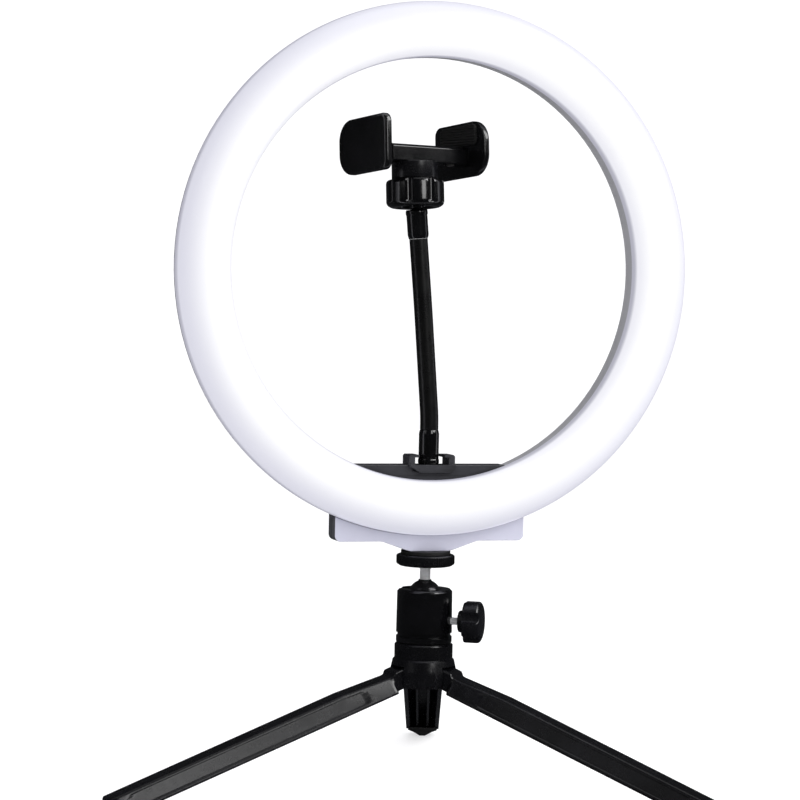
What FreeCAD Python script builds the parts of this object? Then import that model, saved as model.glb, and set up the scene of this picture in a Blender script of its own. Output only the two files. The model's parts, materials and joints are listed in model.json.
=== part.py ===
import FreeCAD, Part
import math
import os
import re

import Sketcher
from FreeCAD import Placement, Rotation, Vector

# Ring light on a folding table tripod, with a phone clip on a gooseneck.
# Millimetres. The origin is the point of the table under the stand's axis; +Z is up and the
# ring's opal front faces -Y. "Ring frame" means x, y, z counted from the ring's centre.

doc = FreeCAD.newDocument("RingLight")
sheet = doc.addObject("Spreadsheet::Sheet", "Sizes")

SIZES = [
    # ring head
    ("ring_height", 258, "ring centre above the table"),
    ("ring_forward", 7, "joint plane of diffuser and shell in front of the stand's axis"),
    ("ring_radius", 130, "outer radius of the ring (10 inch class)"),
    ("hole_radius", 103, "radius of the hole in the ring"),
    ("bulge_radius", 13.5, "radius of the diffuser's half-round section"),
    ("bulge_straight", 1.5, "straight lead-in of the diffuser before its half-round"),
    ("diffuser_wall", 1.5, "wall of the diffuser"),
    ("shell_depth", 12, "depth of the rear shell"),
    ("shell_wall", 2, "wall of the rear shell"),
    ("shell_draft", 0.4, "draft of the shell's inner side wall"),
    ("shell_lean", 3.1, "how far the shell's outer wall leans in"),
    ("block_half", 48.5, "half width of the base block"),
    ("block_drop", 133, "base block's underside below the ring's centre"),
    ("lobe_drop", 138, "socket lobe's underside below the ring's centre"),
    ("lobe_half", 9.6, "half width of the socket lobe's flat"),
    ("lobe_spread", 24.5, "half width where the lobe meets the block"),
    ("plate_drop", 95.6, "top of the shoe plate below the ring's centre"),
    ("board_front", 5.5, "front face of the LED board behind the joint plane"),
    ("board_thick", 1.5, "LED board"),
    # tripod
    ("leg_reach", 170, "toe of a leg from the stand's axis"),
    ("leg_slope", 18.9, "fall of an open leg, degrees"),
    ("leg_width", 20, "width of a leg"),
    ("leg_crest", 9.6, "width of a leg's flat top"),
    ("leg_depth", 9.3, "depth of a leg and of its hinge tongue"),
    ("tongue_width", 12, "width of a leg's hinge tongue"),
    ("leg_wall", 1.8, "wall of a leg's channel"),
    ("leg_pivot", 12, "leg hinge from the stand's axis"),
    ("pin_radius", 1.5, "leg hinge pin"),
    ("hub_top", 74.4, "top of the hub"),
    ("hub_skirt", 60.6, "edge of the hub's skirt"),
    ("hub_bottom", 53, "underside of the hub"),
    ("skirt_radius", 16.4, "radius of the hub's skirt"),
    ("slot_gap", 0.4, "play on each side of a tongue in the hub"),
    # ball head
    ("housing_bottom", 75, "underside of the ball housing"),
    ("housing_top", 101, "rim of the ball housing"),
    ("housing_radius", 13.8, "radius of the ball housing"),
    ("ball_height", 97, "centre of the ball above the table"),
    ("ball_radius", 8.5, "radius of the ball"),
    ("knob_height", 85.5, "clamp knob's axis above the table"),
    ("knob_radius", 10.3, "reach of the knob's lobes"),
    ("clamp_radius", 1.95, "clamp screw"),
    ("wheel_radius", 14.4, "lock wheel"),
    ("wheel_bottom", 112.3, "underside of the lock wheel"),
    ("wheel_top", 118, "top of the lock wheel"),
    ("stud_radius", 3.1, "quarter inch stud"),
    # phone arm and clip
    ("arm_back", 5, "arm's centreline behind the joint plane"),
    ("neck_radius", 4.5, "radius of the gooseneck's sleeve"),
    ("knee_gap", 0.3, "play between two links of the gooseneck"),
    ("knob_ball", 7.5, "radius of the clip's swivel ball"),
    ("nut_radius", 14.2, "reach of the swivel nut's lobes"),
    ("socket_radius", 11.3, "radius of the clip's socket"),
    ("beam_low", 12.5, "underside of the clip's beam above the swivel ball"),
    ("beam_high", 20.5, "top of the clip's beam above the swivel ball"),
    ("beam_half", 7, "half depth of the clip's beam"),
    ("jaw_depth", 42, "depth of a jaw paddle"),
    ("jaw_height", 27, "height of a jaw paddle"),
    ("jaw_thick", 3.6, "thickness of a jaw paddle"),
    ("grip_half", 27, "inner face of a jaw from the clip's middle, closed"),
]
ALIASES = {alias for alias, _, _ in SIZES}
for row, (alias, number, note) in enumerate(SIZES, 1):
    sheet.set(f"A{row}", note)
    sheet.set(f"B{row}", str(number))
    sheet.setAlias(f"B{row}", alias)
doc.recompute()


def formula(text):
    """Write a size or a sum of sizes the way FreeCAD's expressions name the sheet's cells."""
    return re.sub(
        r"[a-z]+(?:_[a-z]+)+", lambda w: "Sizes." + w[0] if w[0] in ALIASES else w[0], str(text)
    )


def value(text):
    """Number that a size, a sum of sizes or a plain number stands for."""
    return float(sheet.evalExpression(formula(text)))


def bind(obj, prop, text):
    obj.setExpression(prop, formula(text))


# ------------------------------------------------------------------ makers of single features
def new_body(label):
    body = doc.addObject("PartDesign::Body", label)
    body.Label = label
    return body


def outline(body, role, points, lift=0):
    """Closed sketch of straight lines on an origin plane; each coordinate is bound to the sheet."""
    sketch = body.newObject("Sketcher::SketchObject", body.Name + "_sketch")
    plane = [f for f in body.Origin.OriginFeatures if f.Role == role][0]
    sketch.AttachmentSupport = [(plane, "")]
    sketch.MapMode = "FlatFace"
    if lift:
        sketch.AttachmentOffset = Placement(Vector(0, 0, value(lift)), Rotation())
        bind(sketch, "AttachmentOffset.Base.z", lift)
    corners = [Vector(value(a), value(b), 0) for a, b in points]
    count = len(corners)
    sides = [Part.LineSegment(corners[i], corners[(i + 1) % count]) for i in range(count)]
    sketch.addGeometry(sides, False)
    for i in range(count):
        sketch.addConstraint(Sketcher.Constraint("Coincident", i, 2, (i + 1) % count, 1))
    for i, point in enumerate(points):
        for kind, text, axis in (("DistanceX", point[0], -2), ("DistanceY", point[1], -1)):
            place = value(text)
            if abs(place) < 1e-9:
                sketch.addConstraint(Sketcher.Constraint("PointOnObject", i, 1, axis))
                continue
            if place > 0:
                rule = Sketcher.Constraint(kind, -1, 1, i, 1, place)
            else:
                rule = Sketcher.Constraint(kind, i, 1, -1, 1, -place)
                text = f"-({text})"
            index = sketch.addConstraint(rule)
            sketch.setExpression(f"Constraints[{index}]", formula(text))
    return sketch


def circle_sketch(body, role, across, up, radius):
    """Sketch of one circle on an origin plane, its centre and radius bound to the sheet."""
    sketch = body.newObject("Sketcher::SketchObject", body.Name + "_circle")
    plane = [f for f in body.Origin.OriginFeatures if f.Role == role][0]
    sketch.AttachmentSupport = [(plane, "")]
    sketch.MapMode = "FlatFace"
    centre = Vector(value(across), value(up), 0)
    sketch.addGeometry(Part.Circle(centre, Vector(0, 0, 1), value(radius)), False)
    sketch.addConstraint(Sketcher.Constraint("Radius", 0, value(radius)))
    sketch.setExpression("Constraints[0]", formula(radius))
    for kind, text, axis in (("DistanceX", across, -2), ("DistanceY", up, -1)):
        place = value(text)
        if abs(place) < 1e-9:
            sketch.addConstraint(Sketcher.Constraint("PointOnObject", 0, 3, axis))
            continue
        index = sketch.addConstraint(Sketcher.Constraint(kind, -1, 1, 0, 3, place))
        sketch.setExpression(f"Constraints[{index}]", formula(text))
    return sketch


def turned(label, points, role="XZ_Plane"):
    """Body of revolution: the outline of (radius, height) points turned about the sketch's V axis."""
    body = new_body(label)
    sketch = outline(body, role, points)
    turn = body.newObject("PartDesign::Revolution", label + "_turn")
    turn.Profile = sketch
    turn.ReferenceAxis = (sketch, ["V_Axis"])
    turn.Angle = 360
    return body


def padded(label, role, points, length, midplane=True, lift=0):
    """Body of one pad of the outline, centred on its plane or rising from it."""
    body = new_body(label)
    pad = body.newObject("PartDesign::Pad", label + "_solid")
    pad.Profile = outline(body, role, points, lift)
    bind(pad, "Length", length)
    pad.Midplane = midplane
    return body


def pocket(body, sketch, length, midplane=True, flip=False):
    """Cut the sketch out of the body and make sure that material went."""
    doc.recompute()
    before = body.Shape.Volume
    cut = body.newObject("PartDesign::Pocket", body.Name + "_pocket")
    cut.Profile = sketch
    bind(cut, "Length", length)
    cut.Midplane = midplane
    cut.Reversed = flip
    doc.recompute()
    assert body.Shape.Volume < before - 1e-6, f"{cut.Name} cuts nothing"
    return cut


def around(body, features, axis_role, count):
    """Repeat features of the body evenly about one of its origin axes."""
    pattern = body.newObject("PartDesign::PolarPattern", body.Name + "_pattern")
    pattern.Originals = features
    axis = [f for f in body.Origin.OriginFeatures if f.Role == axis_role][0]
    pattern.Axis = (axis, [""])
    pattern.Angle = 360
    pattern.Occurrences = count
    body.Tip = pattern
    doc.recompute()
    return pattern


def rounded(body, radius, wanted):
    """Round the edges of the body's tip for which wanted(edge) is true."""
    doc.recompute()
    tip = body.Tip
    names = [f"Edge{i}" for i, e in enumerate(tip.Shape.Edges, 1) if wanted(e)]
    assert names, f"no edge to round on {body.Name}"
    edge = body.newObject("PartDesign::Fillet", body.Name + "_edge")
    edge.Base = (tip, names)
    bind(edge, "Radius", radius)
    doc.recompute()
    return edge


def runs_along(edge, axis):
    """True for a straight edge parallel to the axis."""
    if not isinstance(edge.Curve, Part.Line):
        return False
    return abs(abs(edge.Curve.Direction.dot(axis)) - 1) < 1e-6


def cylinder(name, radius, height, base=(0, 0, 0), axis=Vector(0, 0, 1)):
    """Part cylinder from its base point along the axis."""
    solid = doc.addObject("Part::Cylinder", name)
    bind(solid, "Radius", radius)
    bind(solid, "Height", height)
    settle(solid, base, Rotation(Vector(0, 0, 1), axis))
    return solid


def box(name, low, high):
    """Part box between two corners."""
    solid = doc.addObject("Part::Box", name)
    for prop, a, b in zip(("Length", "Width", "Height"), low, high):
        bind(solid, prop, f"({b}) - ({a})")
    settle(solid, low, Rotation())
    return solid


def torus(name, centre_radius, section_radius, base, axis):
    solid = doc.addObject("Part::Torus", name)
    bind(solid, "Radius1", centre_radius)
    bind(solid, "Radius2", section_radius)
    settle(solid, base, Rotation(Vector(0, 0, 1), axis))
    return solid


def sphere(name, radius, base):
    solid = doc.addObject("Part::Sphere", name)
    bind(solid, "Radius", radius)
    settle(solid, base, Rotation())
    return solid


def settle(solid, base, rotation):
    """Turn a primitive and bind its place to the sheet."""
    solid.Placement = Placement(Vector(*[value(c) for c in base]), rotation)
    for letter, text in zip("xyz", base):
        bind(solid, f"Placement.Base.{letter}", text)


def cut(name, base, tools):
    """Boolean cut of one or more tools from a base."""
    result = doc.addObject("Part::Cut", name)
    result.Base = base
    result.Tool = tools[0] if len(tools) == 1 else fuse(name + "_tools", tools)
    return result


def fuse(name, shapes):
    result = doc.addObject("Part::MultiFuse", name)
    result.Shapes = shapes
    return result


def common(name, base, tool):
    result = doc.addObject("Part::Common", name)
    result.Base = base
    result.Tool = tool
    return result


def group(name, shapes):
    """Several separate solids in one node, such as a set of screws."""
    result = doc.addObject("Part::Compound", name)
    result.Links = shapes
    return result


NODES = []


def node(label, obj, placement=None):
    """Name a finished sub-part and put it in its place."""
    obj.Label = label
    if placement is not None:
        obj.Placement = placement
    NODES.append(obj)
    return obj


X_AXIS, Y_AXIS, Z_AXIS = Vector(1, 0, 0), Vector(0, 1, 0), Vector(0, 0, 1)

# ------------------------------------------------------------------ tripod
# Three channel legs hinge in slots of a moulded hub. Open, each tongue bears on its slot's roof.
SLOPE = math.radians(value("leg_slope"))
LEG_ANGLES = {"rear": 72.1, "left": 192.1, "right": 312.1}
SOLE_LENGTH = 14
TOE_LIFT = 1.2
pivot_height = (
    TOE_LIFT
    + (value("leg_reach") - 5 - value("leg_pivot")) * math.tan(SLOPE)
    + value("leg_depth") / 2 / math.cos(SLOPE)
)
leg_length = (value("leg_reach") - value("leg_pivot")) / math.cos(SLOPE) - 1.0


def hub():
    body = turned(
        "hub",
        [
            (5.3, "hub_bottom"),
            ("skirt_radius - 1.8", "hub_bottom"),
            ("skirt_radius - 0.2", "hub_bottom + 2"),
            ("skirt_radius", "hub_skirt"),
            ("skirt_radius - 1.2", "hub_skirt + 5.5"),
            ("skirt_radius - 2", "hub_skirt + 6.2"),
            ("skirt_radius - 2", "hub_top - 0.9"),
            ("skirt_radius - 2.9", "hub_top"),
            (3.1, "hub_top"),
            (3.1, "hub_bottom + 4.2"),
            (5.3, "hub_bottom + 4.2"),
        ],
    )
    inner = "leg_pivot - leg_depth / 2 - slot_gap"
    roof = pivot_height + value("leg_depth") / 2 + 0.35
    slot = outline(
        body, "XZ_Plane", [(inner, "hub_bottom - 3"), (24, "hub_bottom - 3"), (24, roof), (inner, roof)]
    )
    slots = pocket(body, slot, "tongue_width + 2 * slot_gap")
    bore = circle_sketch(body, "XZ_Plane", "leg_pivot", pivot_height, "pin_radius + 0.05")
    bores = pocket(body, bore, 19.4)
    around(body, [slots, bores], "Z_Axis", 3)
    return body


def leg_section(label, half_low, half_top, low, lip, top, near, far):
    """Prism along the leg: a trapezoid with short upright lips at its foot."""
    return padded(
        label,
        "YZ_Plane",
        [
            (-half_low, low),
            (half_low, low),
            (half_low, lip),
            (half_top, top),
            (-half_top, top),
            (-half_low, lip),
        ],
        far - near,
        midplane=False,
        lift=near,
    )


def toe_sides(label, tip, half, setback):
    """The two prisms that cut an end to a blunt arrow."""
    prisms = []
    for hand in (-1, 1):
        corners = [(tip, 0), (tip + 3, 0), (tip + 3, hand * half), (tip - setback, hand * half)]
        prisms.append(padded(f"{label}_{'left' if hand < 0 else 'right'}", "XY_Plane", corners, 40))
    return prisms


def leg(label):
    """Leg along +X from its hinge at the origin; its open side faces -Z."""
    half = value("leg_depth") / 2
    wide, crest, wall = value("leg_width") / 2, value("leg_crest") / 2, value("leg_wall")
    start, kink, rib = 7.6, 36.0, 1.2
    lip = -half + 1
    trunk = leg_section(f"{label}_trunk", wide, crest, -half, lip, half, start, leg_length)
    tongue = padded(
        f"{label}_tongue",
        "XZ_Plane",
        [
            (-half * 0.4, -half),
            (start + 2, -half),
            (start + 2, half),
            (-half * 0.4, half),
            (-half, half * 0.4),
            (-half, -half * 0.4),
        ],
        "tongue_width",
    )
    tools = [cylinder(f"{label}_bore", "pin_radius + 0.05", 30, (0, -15, 0), Y_AXIS)]
    tools.append(
        padded(
            f"{label}_dip",
            "XZ_Plane",
            [(5.4, half + 0.1), (7.4, half - 1.65), (kink, half), (kink, half + 3), (5.4, half + 3)],
            40,
        )
    )
    lane = (value("leg_width") - 2 * wall - 2 * rib) / 3
    leaning = wall * math.hypot(wide - crest, half - lip) / (half - lip)
    for step, near, far, roof in (
        ("shallow", start + 3, kink - 6, half - 3.4),
        ("deep", kink - 7, leg_length - 7, half - 2),
    ):
        rise = (roof - lip) / (half - lip)
        half_roof = wide - leaning - (wide - crest) * rise
        hollow = leg_section(
            f"{label}_{step}", wide - leaning, half_roof, -half - 1, lip, roof, near, far
        )
        ribs = [
            box(f"{label}_{step}_rib_{k}", (near - 1, at, -half - 2), (far + 1, at + rib, half))
            for k, at in enumerate((-lane / 2 - rib, lane / 2))
        ]
        tools.append(cut(f"{label}_{step}_lanes", hollow, ribs))
    end = leg_length
    for side, sign, back in (("under", -1, 3), ("over", 1, 4)):
        ramp = [(end - back, sign * half), (end + 1, sign * half), (end + 1, 0)]
        lifted = [(x, y + sign * 0.05 * (y != 0)) for x, y in ramp]
        tools.append(padded(f"{label}_toe_{side}", "XZ_Plane", lifted, 40))
    tools += toe_sides(f"{label}_toe", end, wide + 1, 4)
    return cut(label, fuse(f"{label}_solid", [trunk, tongue]), tools)


def foot(label):
    """Rubber foot in the toe's channel; its sole is level with the table when the leg is open."""
    reach = value("leg_reach")
    slope = math.tan(SLOPE)

    def under(r):
        return TOE_LIFT + (reach - 5 - r) * slope

    pad = padded(
        f"{label}_pad",
        "XZ_Plane",
        [
            (reach - SOLE_LENGTH, 0),
            (reach - 1.2, 0),
            (reach, 0.8),
            (reach, under(reach - 5) - 0.12),
            (reach - 5, under(reach - 5) - 0.12),
            (reach - SOLE_LENGTH - 3, under(reach - SOLE_LENGTH - 3) - 0.12),
            (reach - SOLE_LENGTH - 3, 1.6),
        ],
        "leg_width - 2",
    )
    return cut(label, pad, toe_sides(f"{label}_toe", reach, value("leg_width") / 2, 3.8))


node("hub", hub(), Placement(Vector(), Rotation(Z_AXIS, LEG_ANGLES["rear"])))
for side, angle in LEG_ANGLES.items():
    spin = Rotation(Z_AXIS, angle)
    hinge = spin.multVec(Vector(value("leg_pivot"), 0, pivot_height))
    fall = Rotation(Y_AXIS, value("leg_slope"))
    node(f"leg_{side}", leg(f"leg_{side}"), Placement(hinge, spin.multiply(fall)))
    node(f"foot_{side}", foot(f"foot_{side}"), Placement(Vector(), spin))
    pin = turned(
        f"leg_pin_{side}",
        [
            (0, 0),
            ("pin_radius - 0.3", 0),
            ("pin_radius", 0.3),
            ("pin_radius", 18.7),
            ("pin_radius - 0.3", 19),
            (0, 19),
        ],
    )
    pin_start = spin.multVec(Vector(value("leg_pivot"), -9.5, pivot_height))
    node(f"leg_pin_{side}", pin, Placement(pin_start, spin.multiply(Rotation(Z_AXIS, Y_AXIS))))

node(
    "hub_screw",
    turned(
        "hub_screw",
        [
            (0, "hub_bottom + 1.9"),
            (1.4, "hub_bottom + 1.9"),
            (1.4, "hub_bottom + 0.5"),
            (4.6, "hub_bottom + 0.5"),
            (5, "hub_bottom + 1.2"),
            (5, "hub_bottom + 4.1"),
            (2.95, "hub_bottom + 4.1"),
            (2.95, "housing_bottom + 5.4"),
            (2.4, "housing_bottom + 6"),
            (0, "housing_bottom + 6"),
        ],
    ),
)

# ------------------------------------------------------------------ ball head
# The housing holds the ball on a nylon seat. The knob's screw pushes a brass tip inside it.
KNOB_ANGLE = -30
knob_turn = Rotation(Z_AXIS, KNOB_ANGLE)
knob_way = knob_turn.multVec(X_AXIS)
knob_frame = Placement(Vector(0, 0, value("knob_height")), knob_turn)


def ball_housing():
    shell = turned(
        "housing_shell",
        [
            ("housing_radius", "housing_bottom"),
            ("housing_radius", "housing_bottom + 2.6"),
            ("housing_radius - 0.7", "housing_bottom + 3"),
            ("housing_radius - 0.7", "housing_bottom + 4.2"),
            ("housing_radius", "housing_bottom + 4.6"),
            ("housing_radius - 0.2", "housing_top - 1.2"),
            ("housing_radius - 1.3", "housing_top"),
            (8.7, "housing_top"),
            (7.95, "ball_height + 3.6"),
            (8.6, "ball_height + 2"),
            (8.9, "ball_height"),
            (10.9, "ball_height - 2"),
            (10.9, "housing_bottom + 7"),
            (3, "housing_bottom + 7"),
            (3, "housing_bottom"),
        ],
    )
    notch = box("housing_notch", (-15, -3.4, "ball_height - 1.5"), (-6, 3.4, "housing_top + 2"))
    bore = cylinder("clamp_bore", "clamp_radius + 0.06", 10, (8, 0, "knob_height"), X_AXIS)
    return cut("ball_housing", shell, [notch, bore])


def clamp_knob():
    """Star knob along +X: a stepped collar behind five rounded lobes."""
    body = turned(
        "clamp_knob",
        [
            ("clamp_radius + 0.05", 17.4),
            (4.2, 17.4),
            (4.6, 17.9),
            (4.6, 19.6),
            (6.2, 20),
            ("knob_radius", 20.3),
            ("knob_radius", 26.6),
            ("knob_radius - 1.3", 27.9),
            (4, 29.2),
            (0, 29.6),
            (0, 25),
            ("clamp_radius + 0.05", 25),
        ],
    )
    gap = circle_sketch(body, "XY_Plane", "knob_radius + 0.9", 0, 3.1)
    gap.AttachmentOffset = Placement(Vector(0, 0, 19.9), Rotation())
    scallop = pocket(body, gap, 12, midplane=False, flip=True)
    around(body, [scallop], "Z_Axis", 5)
    rounded(body, 0.6, lambda e: isinstance(e.Curve, Part.Line) and e.Length > 5)
    return body


node("ball_housing", ball_housing(), Placement(Vector(), knob_turn))
node(
    "ball_seat",
    turned(
        "ball_seat",
        [
            (5.6, "ball_height - 8.7"),
            (10.5, "ball_height - 8.7"),
            (10.5, "ball_height - 3.4"),
            (8.15, "ball_height - 3.4"),
            (7.2, "ball_height - 5"),
            (5.6, "ball_height - 6.7"),
        ],
    ),
)
bored = cylinder("ball_bore", 2.6, 20, (0, 0, "ball_height + 2"))
node("ball", cut("ball", sphere("ball_solid", "ball_radius", (0, 0, "ball_height")), [bored]))
node(
    "stud",
    turned(
        "stud",
        [
            (0, "ball_height + 2.1"),
            (2.55, "ball_height + 2.1"),
            (2.55, "wheel_bottom - 1.2"),
            ("stud_radius", "wheel_bottom - 0.6"),
            ("stud_radius", "ring_height - lobe_drop + 7.4"),
            (2.5, "ring_height - lobe_drop + 8"),
            (0, "ring_height - lobe_drop + 8"),
        ],
    ),
)
clamp_rest = knob_frame.multiply(Placement(Vector(), Rotation(Z_AXIS, X_AXIS)))
node(
    "clamp_tip",
    turned("clamp_tip", [(0, 6.2), (1.1, 6.2), (1.5, 6.7), (1.5, 9.1), (0, 9.1)]),
    clamp_rest,
)
node(
    "clamp_screw",
    turned("clamp_screw", [(0, 9.3), (1.5, 9.3), ("clamp_radius", 9.8), ("clamp_radius", 24.9), (0, 24.9)]),
    clamp_rest,
)
node("clamp_knob", clamp_knob(), clamp_rest)


def lock_wheel():
    """Lock wheel on the stud with a fine straight knurl."""
    body = turned(
        "lock_wheel",
        [
            (3.3, "wheel_bottom"),
            ("wheel_radius - 0.9", "wheel_bottom"),
            ("wheel_radius", "wheel_bottom + 0.9"),
            ("wheel_radius", "wheel_top - 0.9"),
            ("wheel_radius - 0.9", "wheel_top"),
            (3.3, "wheel_top"),
        ],
    )
    groove = circle_sketch(body, "XY_Plane", "wheel_radius + 0.35", 0, 0.8)
    groove.AttachmentOffset = Placement(Vector(0, 0, value("wheel_bottom") - 1), Rotation())
    bind(groove, "AttachmentOffset.Base.z", "wheel_bottom - 1")
    around(body, [pocket(body, groove, 9, midplane=False, flip=True)], "Z_Axis", 40)
    return body


node("lock_wheel", lock_wheel())
node(
    "wheel_pad",
    turned(
        "wheel_pad",
        [
            (3.4, "wheel_top"),
            (12.2, "wheel_top"),
            (12.2, "ring_height - lobe_drop - 0.4"),
            (11.8, "ring_height - lobe_drop"),
            (3.4, "ring_height - lobe_drop"),
        ],
    ),
)

# ------------------------------------------------------------------ ring head, in the ring frame
ring_frame = Placement(Vector(0, -value("ring_forward"), value("ring_height")), Rotation())
SCREW_ANGLES = [30, 90, 150, 210, 330]
SCREW_CIRCLE = 116.5


def ring_part(label, points):
    """Ring whose outline is (radius, depth behind the joint plane), turned about the ring's axis."""
    return turned(label, points, role="XY_Plane")


def screw_holes(name, radius, depth):
    """Cylinders through the shell at the screw places."""
    holes = []
    for angle in SCREW_ANGLES:
        turn = math.radians(angle)
        where = (SCREW_CIRCLE * math.cos(turn), 0, SCREW_CIRCLE * math.sin(turn))
        holes.append(cylinder(f"{name}_{angle}", radius, depth, where, Y_AXIS))
    return holes


def base_half(label, front, back, bite):
    """One half of the base block, hollowed to the ring's curve, with its socket lobe."""
    body = padded(
        label,
        "XZ_Plane",
        [
            ("-block_half", "-block_drop"),
            ("-lobe_spread", "-block_drop"),
            ("-lobe_half - 3", "-lobe_drop + 0.8"),
            ("-lobe_half", "-lobe_drop"),
            ("lobe_half", "-lobe_drop"),
            ("lobe_half + 3", "-lobe_drop + 0.8"),
            ("lobe_spread", "-block_drop"),
            ("block_half", "-block_drop"),
            ("block_half", "-block_drop + 17"),
            ("-block_half", "-block_drop + 17"),
        ],
        f"({back}) - ({front})",
        midplane=False,
        lift=f"-({back})",
    )
    edge = value("block_half") - 1
    rounded(body, 3, lambda e: runs_along(e, Y_AXIS) and abs(e.CenterOfMass.x) > edge
            and e.CenterOfMass.z < -value("block_drop") + 1)
    blend = value("lobe_spread")
    rounded(body, 12, lambda e: runs_along(e, Y_AXIS)
            and abs(abs(e.CenterOfMass.x) - blend) < 0.1)
    curve = cylinder(label + "_curve", bite, 40, (0, -20, 0), Y_AXIS)
    socket = cylinder(label + "_socket", 5.55, 9.2, (0, "ring_forward", "-lobe_drop"))
    return cut(label + "_cut", body, [curve, socket])


# The shell's outside leans in behind its rim, so that it hides behind the diffuser.
shell_blank = ring_part(
    "shell_blank",
    [
        ("hole_radius + 0.1", 0),
        ("ring_radius - 0.1", 0),
        ("ring_radius - 0.3", 2.5),
        ("ring_radius - shell_lean", "shell_depth - 2.5"),
        ("ring_radius - shell_lean - 2.1", "shell_depth"),
        ("hole_radius + 2.6", "shell_depth"),
        ("hole_radius + shell_draft + 0.1", "shell_depth - 2.5"),
    ],
)
shell_hollow = ring_part(
    "shell_hollow",
    [
        ("hole_radius + shell_wall", -1),
        ("ring_radius - shell_wall", -1),
        ("ring_radius - shell_wall - 0.3", 2.5),
        ("ring_radius - shell_wall - shell_lean - 0.1", "shell_depth - shell_wall"),
        ("hole_radius + shell_wall + 0.1", "shell_depth - shell_wall"),
    ],
)
ring_middle = "(hole_radius + ring_radius) / 2"
base_rear = base_half("base_rear", "shell_depth / 2", "shell_depth", ring_middle)
shell_solid = cut("shell_solid", fuse("shell_outside", [shell_blank, base_rear]), [shell_hollow])
gland_bore = cylinder("gland_bore", 3.1, 12, (32, "shell_depth / 2 - 1", "-block_drop + 5"), Y_AXIS)
node(
    "rear_shell",
    cut("rear_shell", shell_solid, screw_holes("shell_hole", 1.3, 20) + [gland_bore]),
    ring_frame,
)
node("base_cover", base_half("base_front", 0, "shell_depth / 2 - 0.02", "ring_radius + 0.1"), ring_frame)


def diffuser():
    """Opal half-round ring: two short straight walls that a half torus closes."""
    middle = "(ring_radius + hole_radius) / 2"
    nose = (0, "-bulge_straight", 0)
    outer = torus("diffuser_outer", middle, "bulge_radius", nose, Y_AXIS)
    inner = torus("diffuser_inner", middle, "bulge_radius - diffuser_wall", nose, Y_AXIS)
    keep = ring_part(
        "diffuser_keep",
        [
            ("hole_radius - 3", "-bulge_straight"),
            ("hole_radius - 3", -20),
            ("ring_radius + 3", -20),
            ("ring_radius + 3", "-bulge_straight"),
        ],
    )
    bulge = common("diffuser_bulge", cut("diffuser_tube", outer, [inner]), keep)
    walls = [
        ring_part(
            f"diffuser_wall_{side}",
            [(near, 0), (far, 0), (far, "-bulge_straight"), (near, "-bulge_straight")],
        )
        for side, near, far in (
            ("inner", "hole_radius", "hole_radius + diffuser_wall"),
            ("outer", "ring_radius - diffuser_wall", "ring_radius"),
        )
    ]
    return fuse("diffuser", [bulge] + walls)


node("diffuser", diffuser(), ring_frame)
board = ring_part(
    "board_ring",
    [
        ("hole_radius + 3.5", "board_front"),
        ("ring_radius - 5", "board_front"),
        ("ring_radius - 5", "board_front + board_thick"),
        ("hole_radius + 3.5", "board_front + board_thick"),
    ],
)
node("led_board", cut("led_board", board, screw_holes("board_hole", 1.3, 12)), ring_frame)
LED_ROWS = {"inner": (111.2, 60), "outer": (122.0, 60)}
LED_SIDE = 2.8
LED_THICK = 0.8
leds = []
for row_name, (led_circle, led_count) in LED_ROWS.items():
    for k in range(led_count):
        lamp = doc.addObject("Part::Box", f"led_{row_name}_{k}")
        lamp.Length = LED_SIDE
        lamp.Width = LED_THICK
        lamp.Height = LED_SIDE
        turn = Rotation(Y_AXIS, 360 * (k + 0.5) / led_count)
        corner = Vector(-LED_SIDE / 2, value("board_front") - LED_THICK, led_circle - LED_SIDE / 2)
        lamp.Placement = Placement(turn.multVec(corner), turn)
        leds.append(lamp)
node("leds", group("leds", leds), ring_frame)
driver_plate = box(
    "driver_plate", (-22, "board_front + board_thick + 0.8", -122), (22, 9.2, -108)
)
driver_holes = [
    cylinder(f"driver_hole_{side}", 1.1, 4, (at, "board_front + board_thick", -110), Y_AXIS)
    for side, at in (("left", -19), ("right", 19))
]
node("driver_board", cut("driver_board", driver_plate, driver_holes), ring_frame)

screws = []
for angle in SCREW_ANGLES:
    turn = math.radians(angle)
    where = (SCREW_CIRCLE * math.cos(turn), "board_front - 3", SCREW_CIRCLE * math.sin(turn))
    head_at = (where[0], "shell_depth + 0.02", where[2])
    shank = cylinder(f"shell_screw_{angle}", 1.25, "shell_depth + 3.2 - board_front", where, Y_AXIS)
    head = cylinder(f"shell_screw_head_{angle}", 2.4, 1.2, head_at, Y_AXIS)
    screws.append(fuse(f"shell_screw_both_{angle}", [shank, head]))
node("shell_screws", group("shell_screws", screws), ring_frame)
node(
    "thread_insert",
    turned("thread_insert", [(3.18, 0), (5.5, 0), (5.5, 7.9), (3.18, 7.9)]),
    Placement(Vector(0, 0, value("ring_height") - value("lobe_drop")), Rotation()),
)
gland_place = Placement(
    Vector(32, value("shell_depth") / 2 + 0.1, 5 - value("block_drop")), Rotation(Z_AXIS, Y_AXIS)
)
node(
    "cable_gland",
    turned("cable_gland", [(2, 0), (3.05, 0), (3.05, 5.95), (4.6, 5.95), (4.6, 7.4), (3.6, 12), (2, 12)]),
    ring_frame.multiply(gland_place),
)

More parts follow.
